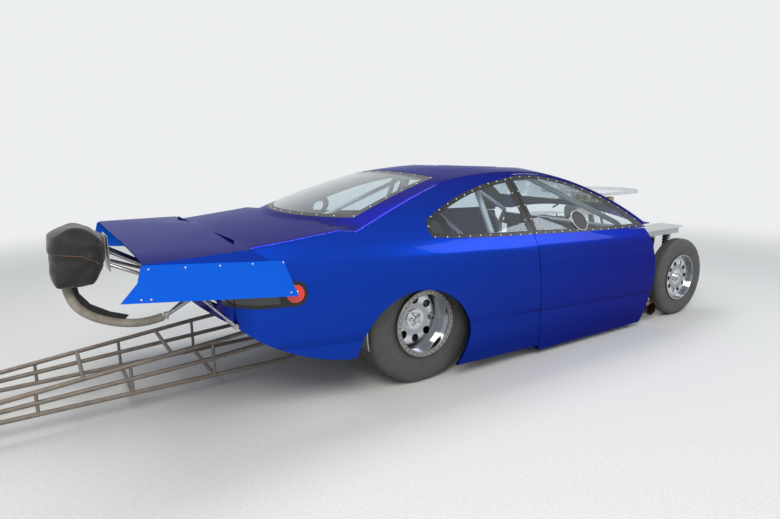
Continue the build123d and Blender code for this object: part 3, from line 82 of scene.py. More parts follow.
def build_camera():
    """The photograph's own viewpoint."""
    data = bpy.data.cameras.new("camera")
    data.sensor_width = SENSOR_MM
    data.lens = FOCAL_PX / FRAME_WIDTH_PX * SENSOR_MM
    camera = bpy.data.objects.new("camera", data)
    turn = (Matrix.Rotation(radians(-CAMERA_YAW), 4, "Z") @ Matrix.Rotation(radians(90 - CAMERA_PITCH), 4, "X")
            @ Matrix.Rotation(radians(CAMERA_ROLL), 4, "Z"))
    camera.matrix_world = Matrix.Translation(CAMERA_PLACE) @ turn
    bpy.context.scene.collection.objects.link(camera)
    bpy.context.scene.camera = camera


build_camera()


# Materials

def linear(hex_colour):
    """An sRGB hex colour as the linear values that shaders take."""
    channels = [int(hex_colour[i:i + 2], 16) / 255 for i in (1, 3, 5)]
    return [c / 12.92 if c <= 0.04045 else ((c + 0.055) / 1.055) ** 2.4 for c in channels] + [1.0]


def per_mm(size_mm):
    """Noise scale whose features are about this many millimetres across."""
    return 1 / (size_mm * MM)


# A wave texture turns through this many radians in one unit of its scale
WAVE_RADIANS = 20


def waves_every(period_mm):
    """Wave scale whose waves lie this many millimetres apart."""
    return 2 * pi / (WAVE_RADIANS * period_mm * MM)


def add(tree, kind, sockets=None, stops=(), **settings):
    """Adds a shader node, sets its properties and colour stops, and links or fills its inputs. Where a node is given
    as the source of an input, its first output is linked."""
    node = tree.nodes.new("ShaderNode" + kind)
    for name, value in settings.items():
        setattr(node, name, value)
    for socket, source in (sockets or {}).items():
        if isinstance(source, bpy.types.Node):
            source = source.outputs[0]
        if isinstance(source, bpy.types.NodeSocket):
            tree.links.new(source, node.inputs[socket])
        else:
            node.inputs[socket].default_value = source
    for index, (position, colour) in enumerate(stops):
        elements = node.color_ramp.elements
        element = elements[index] if index < len(elements) else elements.new(position)
        element.position, element.color = position, linear(colour)
    return node


def new_material(name):
    """A material, its empty node tree, and the place on the piece that its patterns read."""
    material = bpy.data.materials.new(name)
    material.use_nodes = True
    tree = material.node_tree
    tree.nodes.clear()
    return material, tree, add(tree, "TexCoord").outputs["Object"]


# The pillar between the side windows, painted black like the borders of the panes: x from and to, z from and to
BLACK_PILLAR = (838, 876, 868, 1236)


def within(tree, source, low_mm, high_mm):
    """1 between two distances along an axis."""
    above = add(tree, "Math", {0: source, 1: low_mm * MM}, operation="GREATER_THAN")
    below = add(tree, "Math", {0: source, 1: high_mm * MM}, operation="LESS_THAN")
    return add(tree, "Math", {0: above, 1: below}, operation="MULTIPLY")


def candy_enamel(name, deep, bright, flake_mm, black_pillar=False):
    """Candy enamel over a metallic base: deep where it turns away, brighter where the light strikes it square,
    with a wet clear coat and a fine flake, drawn coarser than it is so that it shows."""
    material, tree, place = new_material(name)
    flake = add(tree, "TexNoise", {"Vector": place, "Scale": per_mm(flake_mm), "Detail": 1.0})
    turned = add(tree, "LayerWeight", {"Blend": 0.3}).outputs["Facing"]
    tone = add(tree, "ValToRGB", {"Fac": turned}, stops=[(0.0, bright), (0.45, deep), (1.0, deep)])
    sparkle = add(tree, "MapRange", {"Value": flake, "To Min": 0.82, "To Max": 1.18})
    surface = add(tree, "BsdfPrincipled", {
        "Base Color": add(tree, "HueSaturation", {"Color": tone, "Value": sparkle}),
        "Normal": add(tree, "Bump", {"Height": flake, "Strength": 0.03, "Distance": 0.1 * MM}),
        "Metallic": 0.95, "Specular Tint": linear("#1a3cc8"), "Roughness": 0.32, "Coat Weight": 0.2,
        "Coat Roughness": 0.02})
    if black_pillar:
        split = add(tree, "SeparateXYZ", {0: place})
        low_x, high_x, low_z, high_z = BLACK_PILLAR
        strip = add(tree, "Math", {0: within(tree, split.outputs["X"], low_x + REAR_AXLE_X, high_x + REAR_AXLE_X),
                                   1: within(tree, split.outputs["Z"], low_z, high_z)}, operation="MULTIPLY")
        black = add(tree, "BsdfPrincipled", {"Base Color": linear("#08090b"), "Roughness": 0.3})
        surface = add(tree, "MixShader", {0: strip, 1: surface, 2: black})
    add(tree, "OutputMaterial", {"Surface": surface})
    return material


def metal(name, light, dark, roughness, grain_mm, stretch=None, relief_mm=0.05):
    """Bare or plated metal whose grain varies its gloss and tone, drawn out along an axis where it was rolled."""
    material, tree, place = new_material(name)
    if stretch:
        place = add(tree, "Mapping", {"Vector": place, "Scale": stretch})
    fine = add(tree, "TexNoise", {"Vector": place, "Scale": per_mm(grain_mm), "Detail": 3.0})
    shader = add(tree, "BsdfPrincipled", {
        "Base Color": add(tree, "ValToRGB", {"Fac": fine}, stops=[(0.35, dark), (0.65, light)]),
        "Roughness": add(tree, "MapRange", {"Value": fine, "To Min": roughness * 0.7, "To Max": roughness * 1.35}),
        "Normal": add(tree, "Bump", {"Height": fine, "Strength": 0.15, "Distance": relief_mm * MM}), "Metallic": 1.0})
    add(tree, "OutputMaterial", {"Surface": shader})
    return material


def spun_metal(name, light, dark, centre_x, centre_z, ring_mm):
    """Polished spun aluminium: mirror bright, with the lathe's rings round the wheel's centre, faint in its gloss and
    relief and drawn far broader than they are so that they show, and with painted reflection: the same rings in
    darker and brighter grey in its colour."""
    material, tree, place = new_material(name)
    centred = add(tree, "Mapping", {"Vector": place, "Location": (-(centre_x + REAR_AXLE_X) * MM, 0, -centre_z * MM)})
    rings = add(tree, "TexWave", {"Vector": centred, "Scale": waves_every(ring_mm), "Distortion": 0.6},
                wave_type="RINGS", rings_direction="Y").outputs["Fac"]
    # The rings' darker and brighter grey in the colour is painted reflection; their gloss and relief are the lathe's
    # rings
    shader = add(tree, "BsdfPrincipled", {
        "Base Color": add(tree, "ValToRGB", {"Fac": rings}, stops=[(0.2, dark), (0.8, light)]),
        "Roughness": add(tree, "MapRange", {"Value": rings, "To Min": 0.1, "To Max": 0.2}),
        "Normal": add(tree, "Bump", {"Height": rings, "Strength": 0.2, "Distance": 0.1 * MM}), "Metallic": 1.0})
    add(tree, "OutputMaterial", {"Surface": shader})
    return material


def coloured(name, light, dark, roughness, grain_mm, relief_mm=0.1, coat=0.0):
    """Paint or moulded plastic with the fine unevenness of its surface."""
    material, tree, place = new_material(name)
    fine = add(tree, "TexNoise", {"Vector": place, "Scale": per_mm(grain_mm), "Detail": 3.0})
    shader = add(tree, "BsdfPrincipled", {
        "Base Color": add(tree, "ValToRGB", {"Fac": fine}, stops=[(0.35, dark), (0.65, light)]),
        "Normal": add(tree, "Bump", {"Height": fine, "Strength": 0.3, "Distance": relief_mm * MM}),
        "Roughness": roughness, "Coat Weight": coat})
    add(tree, "OutputMaterial", {"Surface": shader})
    return material


def weathered_tube(name, paint, rust, bare):
    """Old painted tube: brown-grey, worn through to steel in streaks and rusty in patches."""
    material, tree, place = new_material(name)
    patches = add(tree, "TexNoise", {"Vector": place, "Scale": per_mm(45.0), "Detail": 6.0})
    along = add(tree, "Mapping", {"Vector": place, "Scale": (0.15, 1.0, 1.0)})
    streaks = add(tree, "TexNoise", {"Vector": along, "Scale": per_mm(7.0), "Detail": 4.0})
    aged = add(tree, "ValToRGB", {"Fac": patches}, stops=[(0.4, paint), (0.62, rust)])
    shader = add(tree, "BsdfPrincipled", {
        "Base Color": add(tree, "Mix", {0: streaks, 6: aged, 7: linear(bare)}, data_type="RGBA").outputs[2],
        "Roughness": add(tree, "MapRange", {"Value": patches, "To Min": 0.4, "To Max": 0.75}),
        "Normal": add(tree, "Bump", {"Height": streaks, "Strength": 0.3, "Distance": 0.3 * MM}), "Metallic": 0.35})
    add(tree, "OutputMaterial", {"Surface": shader})
    return material


def woven(name, light, dark, thread_mm, sheen):
    """Woven nylon, dull with a soft sheen at its edges: threads over and under each other, drawn much
    coarser than they are so that they show, and painted shade and light of folds in darker and lighter patches."""
    material, tree, place = new_material(name)
    waves = [add(tree, "TexWave", {"Vector": place, "Scale": waves_every(thread_mm), "Distortion": 0.4},
                 bands_direction=direction).outputs["Fac"] for direction in ("X", "Z")]
    weave = add(tree, "Math", {0: waves[0], 1: waves[1]}, operation="MULTIPLY")
    # Painted shade and light of folds: broad patches that make the colour darker and lighter
    painted_fold_shade = add(tree, "TexNoise", {"Vector": place, "Scale": per_mm(60.0), "Detail": 3.0})
    shader = add(tree, "BsdfPrincipled", {
        "Base Color": add(tree, "ValToRGB", {"Fac": painted_fold_shade}, stops=[(0.3, dark), (0.7, light)]),
        "Normal": add(tree, "Bump", {"Height": weave, "Strength": 0.4, "Distance": 0.4 * MM}),
        "Roughness": 0.75, "Sheen Weight": sheen})
    add(tree, "OutputMaterial", {"Surface": shader})
    return material


def slick_rubber(name):
    """Soft tread rubber: dull, scuffed grey on the tread and a little dusty on the walls."""
    material, tree, place = new_material(name)
    scuff = add(tree, "TexNoise", {"Vector": place, "Scale": per_mm(4.0), "Detail": 5.0})
    dust = add(tree, "TexNoise", {"Vector": place, "Scale": per_mm(90.0), "Detail": 4.0})
    dusty = add(tree, "MapRange", {"Value": dust, "To Min": 0.0, "To Max": 0.8})
    rubber = add(tree, "ValToRGB", {"Fac": scuff}, stops=[(0.35, "#303132"), (0.7, "#434445")])
    shader = add(tree, "BsdfPrincipled", {
        "Base Color": add(tree, "Mix", {0: dusty, 6: rubber, 7: linear("#595752")}, data_type="RGBA").outputs[2],
        "Roughness": add(tree, "MapRange", {"Value": scuff, "To Min": 0.6, "To Max": 0.85}),
        "Normal": add(tree, "Bump", {"Height": scuff, "Strength": 0.4, "Distance": 0.4 * MM})})
    add(tree, "OutputMaterial", {"Surface": shader})
    return material


# Window and lamp outlines as arcs of three points and lines of two, in stations: seen from the side as (x, z),
# or from above as (x, y)
DOOR_WINDOW = [[(2096, 822), (1720, 1070), (1260, 1222)], [(1260, 1222), (1060, 1243), (876, 1238)],
               [(876, 1238), (876, 868)], [(876, 868), (1450, 838), (2096, 822)]]
QUARTER_WINDOW = [[(838, 1229), (440, 1170), (48, 1038)], [(48, 1038), (6, 984), (30, 921)],
                  [(30, 921), (430, 888), (838, 869)], [(838, 869), (838, 1229)]]
WINDSHIELD = [[(1990, -684), (2172, 0), (1990, 684)], [(1990, 684), (1560, 536), (1228, 482)],
              [(1228, 482), (1248, 0), (1228, -482)], [(1228, -482), (1560, -536), (1990, -684)]]
REAR_WINDOW = [[(276, -520), (226, 0), (276, 520)], [(276, 520), (-60, 578), (-388, 640)],
               [(-388, 640), (-600, 0), (-388, -640)], [(-388, -640), (-60, -578), (276, -520)]]
LAMP = [[(-840, 775), (-1300, 790)], [(-1300, 665), (-850, 642)], [(-850, 642), (-790, 705), (-840, 775)]]
# Behind this station the lamp's lens is smoked
LENS_SPLIT_X = -935
SIDE_BORDER, END_BORDER, LAMP_BORDER = 24, 38, 20


def circle_through(a, b, c):
    """Centre and radius of the circle through three points."""
    (ax, ay), (bx, by), (cx, cy) = a, b, c
    d = 2 * (ax * (by - cy) + bx * (cy - ay) + cx * (ay - by))
    x = ((ax * ax + ay * ay) * (by - cy) + (bx * bx + by * by) * (cy - ay) + (cx * cx + cy * cy) * (ay - by)) / d
    y = ((ax * ax + ay * ay) * (cx - bx) + (bx * bx + by * by) * (ax - cx) + (cx * cx + cy * cy) * (bx - ax)) / d
    return (x, y), hypot(ax - x, ay - y)


def near_outline(tree, place, outline, second_axis, width_mm):
    """1 within a band along an outline, 0 inside of it."""
    split = add(tree, "SeparateXYZ", {0: place})
    flat = add(tree, "CombineXYZ", {0: split.outputs["X"], 1: split.outputs[second_axis]})
    nearest = None
    for points in outline:
        if len(points) == 3:
            (cx, cy), radius = circle_through(*points)
            centre = ((cx + REAR_AXLE_X) * MM, cy * MM, 0)
            reach = add(tree, "VectorMath", {0: flat, 1: centre}, operation="DISTANCE").outputs["Value"]
            off = add(tree, "Math", {0: reach, 1: radius * MM}, operation="SUBTRACT")
        else:
            (ax, ay), (bx, by) = points
            long = hypot(bx - ax, by - ay)
            normal = ((ay - by) / long, (bx - ax) / long, 0)
            level = ((ax + REAR_AXLE_X) * normal[0] + ay * normal[1]) * MM
            along = add(tree, "VectorMath", {0: flat, 1: normal}, operation="DOT_PRODUCT").outputs["Value"]
            off = add(tree, "Math", {0: along, 1: level}, operation="SUBTRACT")
        off = add(tree, "Math", {0: off}, operation="ABSOLUTE")
        nearest = off if nearest is None else add(tree, "Math", {0: nearest, 1: off}, operation="MINIMUM")
    return add(tree, "Math", {0: nearest, 1: width_mm * MM}, operation="LESS_THAN")


def bordered_pane(name, outline, second_axis, border_mm):
    """Thin clear polycarbonate with a faint tint, whose sharp reflections grow towards the edge of view, alike on its
    outer and inner face, in a black painted border that hides the frame it is screwed to."""
    material, tree, place = new_material(name)
    clear = add(tree, "BsdfTransparent", {"Color": linear("#eff5f8")})
    gloss = add(tree, "BsdfGlossy", {"Color": linear("#ffffff"), "Roughness": 0.02})
    slant = add(tree, "LayerWeight", {"Blend": 0.5}).outputs["Facing"]
    steep = add(tree, "Math", {0: slant, 1: 5.0}, operation="POWER")
    mirrored = add(tree, "MapRange", {"Value": steep, "To Min": 0.05, "To Max": 1.0})
    sheet = add(tree, "MixShader", {0: mirrored, 1: clear, 2: gloss})
    paint = add(tree, "BsdfPrincipled", {"Base Color": linear("#060709"), "Roughness": 0.35})
    border = near_outline(tree, place, outline, second_axis, border_mm)
    add(tree, "OutputMaterial", {"Surface": add(tree, "MixShader", {0: border, 1: sheet, 2: paint})})
    return material


def lamp_lens(name):
    """Moulded lens, wet bright, ribbed and red at its front and smoked behind, in a black surround."""
    material, tree, place = new_material(name)
    ribs = add(tree, "TexWave", {"Vector": place, "Scale": waves_every(56.549)}, bands_direction="Z").outputs["Fac"]
    red = add(tree, "BsdfPrincipled", {
        "Base Color": linear("#d8200f"), "Roughness": 0.1, "Coat Weight": 1.0,
        "Normal": add(tree, "Bump", {"Height": ribs, "Strength": 0.3, "Distance": 0.5 * MM})})
    smoked = add(tree, "BsdfPrincipled", {"Base Color": linear("#2c2f33"), "Roughness": 0.1, "Coat Weight": 0.6})
    surround = add(tree, "BsdfPrincipled", {"Base Color": linear("#0c0d0f"), "Roughness": 0.3})
    split = add(tree, "SeparateXYZ", {0: place})
    rearward = add(tree, "Math", {0: split.outputs["X"], 1: (LENS_SPLIT_X + REAR_AXLE_X) * MM}, operation="LESS_THAN")
    lens = add(tree, "MixShader", {0: rearward, 1: red, 2: smoked})
    border = near_outline(tree, place, LAMP, "Z", LAMP_BORDER)
    add(tree, "OutputMaterial", {"Surface": add(tree, "MixShader", {0: border, 1: lens, 2: surround})})
    return material


# Sprayed body panels: a deep candy blue, and a brighter, flatter blue on the spoiler's side plates
BLUE = candy_enamel("candy_blue_enamel", "#01156c", "#023cb4", 0.8, black_pillar=True)
PLATE_BLUE = candy_enamel("bright_blue_enamel", "#0450d8", "#0868f0", 0.8)
# Panes and lenses, clear inside their black borders
DOOR_PANE = bordered_pane("door_polycarbonate", DOOR_WINDOW, "Z", SIDE_BORDER)
QUARTER_PANE = bordered_pane("quarter_polycarbonate", QUARTER_WINDOW, "Z", SIDE_BORDER)
SHIELD_PANE = bordered_pane("windshield_polycarbonate", WINDSHIELD, "Y", END_BORDER)
REAR_PANE = bordered_pane("rear_polycarbonate", REAR_WINDOW, "Y", END_BORDER)
LENS = lamp_lens("moulded_red_lens")
RUBBER = slick_rubber("slick_rubber")
# Aluminium: buffed to a soft mirror, spun on the rims, tumbled to a dull grey on the beadlock, cast with a fine
# pebbled skin, rolled sheet with long faint streaks, and dyed blue on the fuel logs and red on their fittings
POLISHED = metal("polished_aluminium", "#c8cbce", "#b2b5b9", 0.12, 30.0)
# Rims whose broad rings of darker and brighter grey in the colour are painted reflection
REAR_RIM_ALLOY = spun_metal("spun_rear_rim", "#d2d5d8", "#a2a6ab", 0, REAR_WHEEL_Z, 87.965)
FRONT_RIM_ALLOY = spun_metal("spun_front_rim", "#d2d5d8", "#a2a6ab", WHEELBASE, FRONT_WHEEL_Z, 87.965)
RING_ALLOY = metal("tumbled_aluminium", "#9c9994", "#7d7a76", 0.4, 4.0)
CAST_ALLOY = metal("cast_aluminium", "#c8c8c8", "#a6a7a8", 0.38, 2.5, relief_mm=0.2)
TIN = metal("sheet_aluminium", "#b4b8bc", "#a8acb1", 0.22, 12.0, stretch=(0.1, 1.0, 1.0), relief_mm=0.02)
BLUE_ANODISED = metal("blue_anodised_aluminium", "#2a62d8", "#1c46ae", 0.25, 6.0)
RED_ANODISED = metal("red_anodised_aluminium", "#d0302a", "#a01e1c", 0.25, 6.0)
# Steel: plain turned steel, bright zinc on screws, pale gold zinc on the carburettors, exhaust pipes browned by
# their heat, and old tube whose paint has worn off in streaks
STEEL = metal("bare_steel", "#b8b8b8", "#929293", 0.3, 8.0)
SCREW = metal("zinc_plated_screw", "#dcdcdc", "#c6c7c8", 0.3, 2.0)
GOLD_ALLOY = metal("dichromate_zinc", "#cdb985", "#aa935c", 0.34, 6.0)
HEAT_STEEL = metal("heat_tinted_steel", "#a58d78", "#6f625c", 0.35, 30.0)
OLD_TUBE = weathered_tube("weathered_tube", "#3a3430", "#6b5442", "#9a938a")
# Painted metal: glossy pale grey on the cage, satin black on the frame, rough dark iron, and a plain white tray
CAGE_GREY = coloured("grey_cage_enamel", "#c9ccd0", "#bcbfc4", 0.3, 30.0, 0.05, coat=0.5)
FRAME_BLACK = coloured("satin_black_enamel", "#2a2a2c", "#1c1c1e", 0.4, 8.0, 0.05)
CAST_IRON = coloured("cast_iron_enamel", "#3c3e42", "#2a2c30", 0.5, 2.0, 0.3)
WHITE_SHEET = coloured("white_enamel_sheet", "#c9cbcd", "#c0c2c4", 0.3, 40.0, 0.02, coat=0.2)
# Moulded plastic: near black, with a slight pebble
BLACK_PLASTIC = coloured("black_moulded_plastic", "#1d1d1f", "#141415", 0.4, 1.5)
# Woven nylon, with the distance between the drawn threads, and painted shade and light of folds in its colour
NYLON = woven("black_nylon_weave", "#232427", "#131416", 15.708, 0.25)
SLEEVE = woven("tan_nylon_sleeve", "#a8a193", "#7d776a", 18.85, 0.3)
BROWN_CORD = woven("brown_cord", "#6e5238", "#4c3826", 9.4248, 0.2)
WEBBING = woven("black_webbing", "#1f2023", "#151618", 12.566, 0.2)

FINISHES = {
    "body_greenhouse": BLUE, "quarter_panel": BLUE, "bumper_cover": BLUE, "deck_panel": BLUE,
    "door_right": BLUE, "door_left": BLUE, "spoiler_deck": BLUE, "spoiler_plate": PLATE_BLUE,
    "windshield": SHIELD_PANE, "rear_window": REAR_PANE, "quarter_windows": QUARTER_PANE,
    "door_window": DOOR_PANE, "tail_lamps": LENS, "rear_tyre": RUBBER, "front_tyre": RUBBER,
    "wheelie_wheels": RUBBER, "rear_rim": REAR_RIM_ALLOY, "front_rim": FRONT_RIM_ALLOY, "roll_cage": CAGE_GREY,
    "frame_rails": FRAME_BLACK, "front_frame": FRAME_BLACK, "rear_axle_housing": FRAME_BLACK,
    "wheelie_bars": OLD_TUBE, "engine_block": CAST_IRON, "cylinder_heads": CAST_ALLOY,
    "valve_covers": POLISHED, "intake_manifold": CAST_ALLOY, "carburettors": GOLD_ALLOY,
    "transmission": CAST_ALLOY, "floor_pan": TIN, "firewall": TIN, "carb_tray": WHITE_SHEET,
    "wheel_tubs": TIN, "fender_trays": TIN, "motor_plates": TIN, "headers": HEAT_STEEL,
    "parachute_pack": NYLON, "parachute_tether": SLEEVE, "driver_seat": BLACK_PLASTIC,
    "steering_column": BLACK_PLASTIC, "radiator": BLACK_PLASTIC,
}


def finish_of(node):
    """The finish of a solid, which is plain steel where no other is given."""
    for start, material in FINISHES.items():
        if node.startswith(start):
            return material
    return STEEL


# Making pieces

def piece_from(bm, name, material, body, crease=30):
    """Turns a finished bmesh into a piece that rides on a body, smooth across all but its sharp edges."""
    for face in bm.faces:
        face.smooth = True
    for edge in bm.edges:
        edge.smooth = edge.calc_face_angle(pi) < radians(crease)
    mesh = bpy.data.meshes.new(name)
    bm.to_mesh(mesh)
    bm.free()
    mesh.materials.append(material)
    piece = bpy.data.objects.new(name, mesh)
    bpy.context.scene.collection.objects.link(piece)
    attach(piece, body)
    return piece


def node_mesh(node):
    """A solid's own mesh with its loose triangles joined up."""
    bm = bmesh.new()
    bm.from_mesh(frame["nodes"][node].data)
    bmesh.ops.remove_doubles(bm, verts=bm.verts, dist=0.02 * MM)
    return bm


def surface_of(node):
    """A solid's surface, for rays that find places on it."""
    bm = node_mesh(node)
    surface = BVHTree.FromBMesh(bm)
    bm.free()
    return surface


def smooth_over(node):
    """Shows a solid with rounded shading in place of its facets."""
    body = frame["nodes"][node]["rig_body"]
    piece = piece_from(node_mesh(node), node + "_surface", finish_of(node), body, crease=34)
    weighted = piece.modifiers.new("weighted_normals", "WEIGHTED_NORMAL")
    weighted.keep_sharp = True
    weighted.weight = 60
    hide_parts(node)


def lathe(profile, centre, steps, side=1):
    """Full turn of (radius, y) points, in millimetres, about the Y axis through centre."""
    bm = bmesh.new()
    verts = [bm.verts.new(centre + Vector((radius, side * y, 0)) * MM) for radius, y in profile]
    edges = [bm.edges.new(pair) for pair in zip(verts, verts[1:])]
    bmesh.ops.spin(bm, geom=verts + edges, cent=centre, axis=(0, 1, 0), angle=2 * pi, steps=steps, use_merge=True)
    bmesh.ops.remove_doubles(bm, verts=bm.verts, dist=0.01 * MM)
    bmesh.ops.recalc_face_normals(bm, faces=bm.faces)
    return bm


def facing(place, direction):
    """Matrix that puts a shape made along Z at a place, along a direction."""
    return Matrix.Translation(place) @ Vector(direction).to_track_quat("Z", "Y").to_matrix().to_4x4()


def rounded(bm, edges, radius_mm, segments=2):
    """Rounds edges off."""
    bmesh.ops.bevel(bm, geom=edges, offset=radius_mm * MM, segments=segments, profile=0.5, affect="EDGES",
                    material=-1)


def add_screw(bm, place, direction, radius_mm):
    """Low round head that sits on a surface."""
    flat = Matrix.Diagonal((1, 1, 0.55, 1))
    bmesh.ops.create_icosphere(bm, subdivisions=2, radius=radius_mm * MM, matrix=facing(place, direction) @ flat)


def add_bolt(bm, place, direction, radius_mm, height_mm):
    """Hexagon head standing on a surface, with a worn edge."""
    made = bmesh.ops.create_cone(bm, cap_ends=True, segments=6, radius1=radius_mm * MM, radius2=radius_mm * 0.92 * MM,
                                 depth=height_mm * MM, matrix=facing(place, direction))
    bmesh.ops.translate(bm, verts=made["verts"], vec=Vector(direction).normalized() * height_mm * MM / 2)


def add_bar(bm, start, end, radius_mm, segments=16):
    """Round bar between two places, or one with flats where few segments are given."""
    along = end - start
    bmesh.ops.create_cone(bm, cap_ends=True, segments=segments, radius1=radius_mm * MM, radius2=radius_mm * MM,
                          depth=along.length, matrix=facing((start + end) / 2, along))


def add_block(bm, low, high):
    """Box between two places."""
    size, middle = high - low, (high + low) / 2
    bmesh.ops.create_cube(bm, size=1, matrix=Matrix.Translation(middle) @ Matrix.Diagonal((*size, 1)))


def strap(bm, places, half_width_mm, thickness_mm):
    """Flat webbing along a row of places, with half its width given as a vector."""
    edge = bm.edges.new([bm.verts.new(places[0] + side * half_width_mm * MM) for side in (1, -1)])
    faces = []
    for before, after in zip(places, places[1:]):
        made = bmesh.ops.extrude_edge_only(bm, edges=[edge])["geom"]
        verts = [item for item in made if isinstance(item, bmesh.types.BMVert)]
        bmesh.ops.translate(bm, verts=verts, vec=after - before)
        edge = [item for item in made if isinstance(item, bmesh.types.BMEdge) and set(item.verts) == set(verts)][0]
        faces += [item for item in made if isinstance(item, bmesh.types.BMFace)]
    bmesh.ops.solidify(bm, geom=faces, thickness=thickness_mm * MM)


# Wheels, with profiles as (radius, y) from the wheel's middle outwards

# Half of each tyre, from its bead to the middle of its tread
REAR_TYRE = [(204, 192), (208, 195), (226, 197.5), (255, 203), (294, 208), (330, 206.5), (352, 204.5), (366, 200),
             (376, 194), (382, 184), (384.6, 168), (385, 140), (385, 60), (385, 0)]
FRONT_TYRE = [(197, 42), (201, 45), (214, 48), (238, 53), (263, 57.5), (285, 57), (302, 54), (314, 49), (322, 43),
              (327, 36), (329.6, 26), (330, 12), (330, 0)]
# The rear tyre's middle lies this far inboard of its rim's
REAR_TYRE_INBOARD = 5
BEADLOCK_RING = [(181, 205), (181, 215), (184, 217.5), (207, 217.5), (210, 215), (210, 205), (181, 205)]
REAR_HUB_CAP = [(0, 100), (0, 128), (20, 127), (24, 122), (24, 100)]
FRONT_HUB_CAP = [(0, 26), (0, 46), (15, 45), (18, 41), (18, 26)]
TYRE_STEPS, RING_STEPS, CAP_STEPS = 120, 96, 32
# Heads on a wheel's outer face: name, wheel, radius of their circle, y of the face, count, and radius and height of
# a head
WHEEL_HEADS = [("beadlock_bolts", "rear", 197, 217, 36, 4.5, 3.5), ("rear_lug_nuts", "rear", 38, 100, 5, 11, 20),
               ("front_lug_nuts", "front", 30, 26, 5, 9, 14), ("front_rim_rivets", "front", 172, 21.2, 20, 4, 3)]


def build_tyre(node, half_profile, centre, body):
    """A slick's round-shouldered carcass, turned about its wheel's axle."""
    profile = half_profile + [(radius, -y) for radius, y in reversed(half_profile[:-1])] + half_profile[:1]
    piece = piece_from(lathe(profile, centre, TYRE_STEPS), node + "_carcass", RUBBER, body, crease=50)
    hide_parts(node)


def build_wheels():
    """Tyres, beadlock rings, hub caps, and the bolts, nuts and rivets of each wheel."""
    for side, sign in SIDES:
        centres = {"rear": at(0, sign * REAR_WHEEL_Y, REAR_WHEEL_Z),
                   "front": at(WHEELBASE, sign * FRONT_WHEEL_Y, FRONT_WHEEL_Z)}
        bodies = {end: end + "_wheel_" + side for end in centres}
        tyre_centre = centres["rear"] - Vector((0, sign * REAR_TYRE_INBOARD * MM, 0))
        build_tyre("rear_tyre_" + side, REAR_TYRE, tyre_centre, bodies["rear"])
        build_tyre("front_tyre_" + side, FRONT_TYRE, centres["front"], bodies["front"])
        ring = lathe(BEADLOCK_RING, centres["rear"], RING_STEPS, sign)
        piece_from(ring, "beadlock_ring_" + side, RING_ALLOY, bodies["rear"])
        for name, end, circle, face, count, radius, height in WHEEL_HEADS:
            bm = bmesh.new()
            for k in range(count):
                turn = 2 * pi * (k + 0.5) / count
                place = centres[end] + Vector((circle * cos(turn), sign * face, circle * sin(turn))) * MM
                add_bolt(bm, place, (0, sign, 0), radius, height)
            piece_from(bm, name + "_" + side, SCREW, bodies[end])
        for end, profile in (("rear", REAR_HUB_CAP), ("front", FRONT_HUB_CAP)):
            cap = lathe(profile, centres[end], CAP_STEPS, sign)
            piece_from(cap, end + "_hub_cap_" + side, POLISHED, bodies[end])


# Screws along the panes, and the fittings of the spoiler

# Spacing of the screws and how far in from the outline they sit, on the side panes and on the front and rear ones
SIDE_ROW, END_ROW = (88, 13), (140, 18)
SCREW_R = 5
# Clear of the whole car, where rays towards it start
CLEAR_Y, CLEAR_Z = 1300, 1600
PLATE_FACE_Y = 910
PLATE_SCREWS = ([(-1560 + 155 * k, 938 - 10.6 * k) for k in range(5)]
                + [(-905, 737), (-870, 737), (-1600, 806), (-1560, 802)])
# The spoiler's struts end in an eye across the car, on a shank with a lock nut: radius, and from and to
STRUT_FOOT, STRUT_HEAD = (-1150, 745, 560), (-1545, 700, 990)
STRUT_SHANK, STRUT_LOCK_NUT, STRUT_EYE = (11, 12, 45), (12, 45, 60), (14, -14, 14)


def along_outline(outline, spacing_mm, inset_mm):
    """(first, second) places along an outline, moved inwards."""
    corners = [points[0] for points in outline]
    middle = [sum(values) / len(corners) for values in zip(*corners)]
    places = []
    for points in outline:
        if len(points) == 3:
            (cx, cy), radius = circle_through(*points)
            angles = [atan2(y - cy, x - cx) for x, y in points]
            angles = [angles[0] + (a - angles[0] + pi) % (2 * pi) - pi for a in angles]
            sweep = angles[2] - angles[0]
            count = max(1, round(abs(sweep) * radius / spacing_mm))
            turns = [angles[0] + sweep * k / count for k in range(count)]
            line = [(cx + radius * cos(turn), cy + radius * sin(turn)) for turn in turns]
        else:
            (ax, ay), (bx, by) = points
            count = max(1, round(hypot(bx - ax, by - ay) / spacing_mm))
            line = [(ax + (bx - ax) * k / count, ay + (by - ay) * k / count) for k in range(count)]
        for x, y in line:
            off = hypot(middle[0] - x, middle[1] - y)
            places.append((x + (middle[0] - x) * inset_mm / off, y + (middle[1] - y) * inset_mm / off))
    return places


def screw_row(name, node, outline, row, body, sign=None):
    """Small bright screws on a pane, set on its outer surface as seen from one side of the car, or from above where
    no side is given."""
    surface = surface_of(node)
    bm = bmesh.new()
    for a, b in along_outline(outline, *row):
        if sign:
            start, direction = at(a, sign * CLEAR_Y, b), Vector((0, -sign, 0))
        else:
            start, direction = at(a, b, CLEAR_Z), Vector((0, 0, -1))
        place, normal, _, _ = surface.ray_cast(start, direction)
        if place:
            add_screw(bm, place, normal, SCREW_R)
    piece_from(bm, name, SCREW, body, crease=60)


def build_pane_screws():
    """The screws round the four side panes, the windshield and the rear window."""
    for side, sign in SIDES:
        screw_row("door_pane_screws_" + side, "door_window_" + side, DOOR_WINDOW, SIDE_ROW, "door_" + side, sign)
        screw_row("quarter_pane_screws_" + side, "quarter_windows", QUARTER_WINDOW, SIDE_ROW, "chassis", sign)
    screw_row("windshield_screws", "windshield", WINDSHIELD, END_ROW, "chassis")
    screw_row("rear_pane_screws", "rear_window", REAR_WINDOW, END_ROW, "chassis")


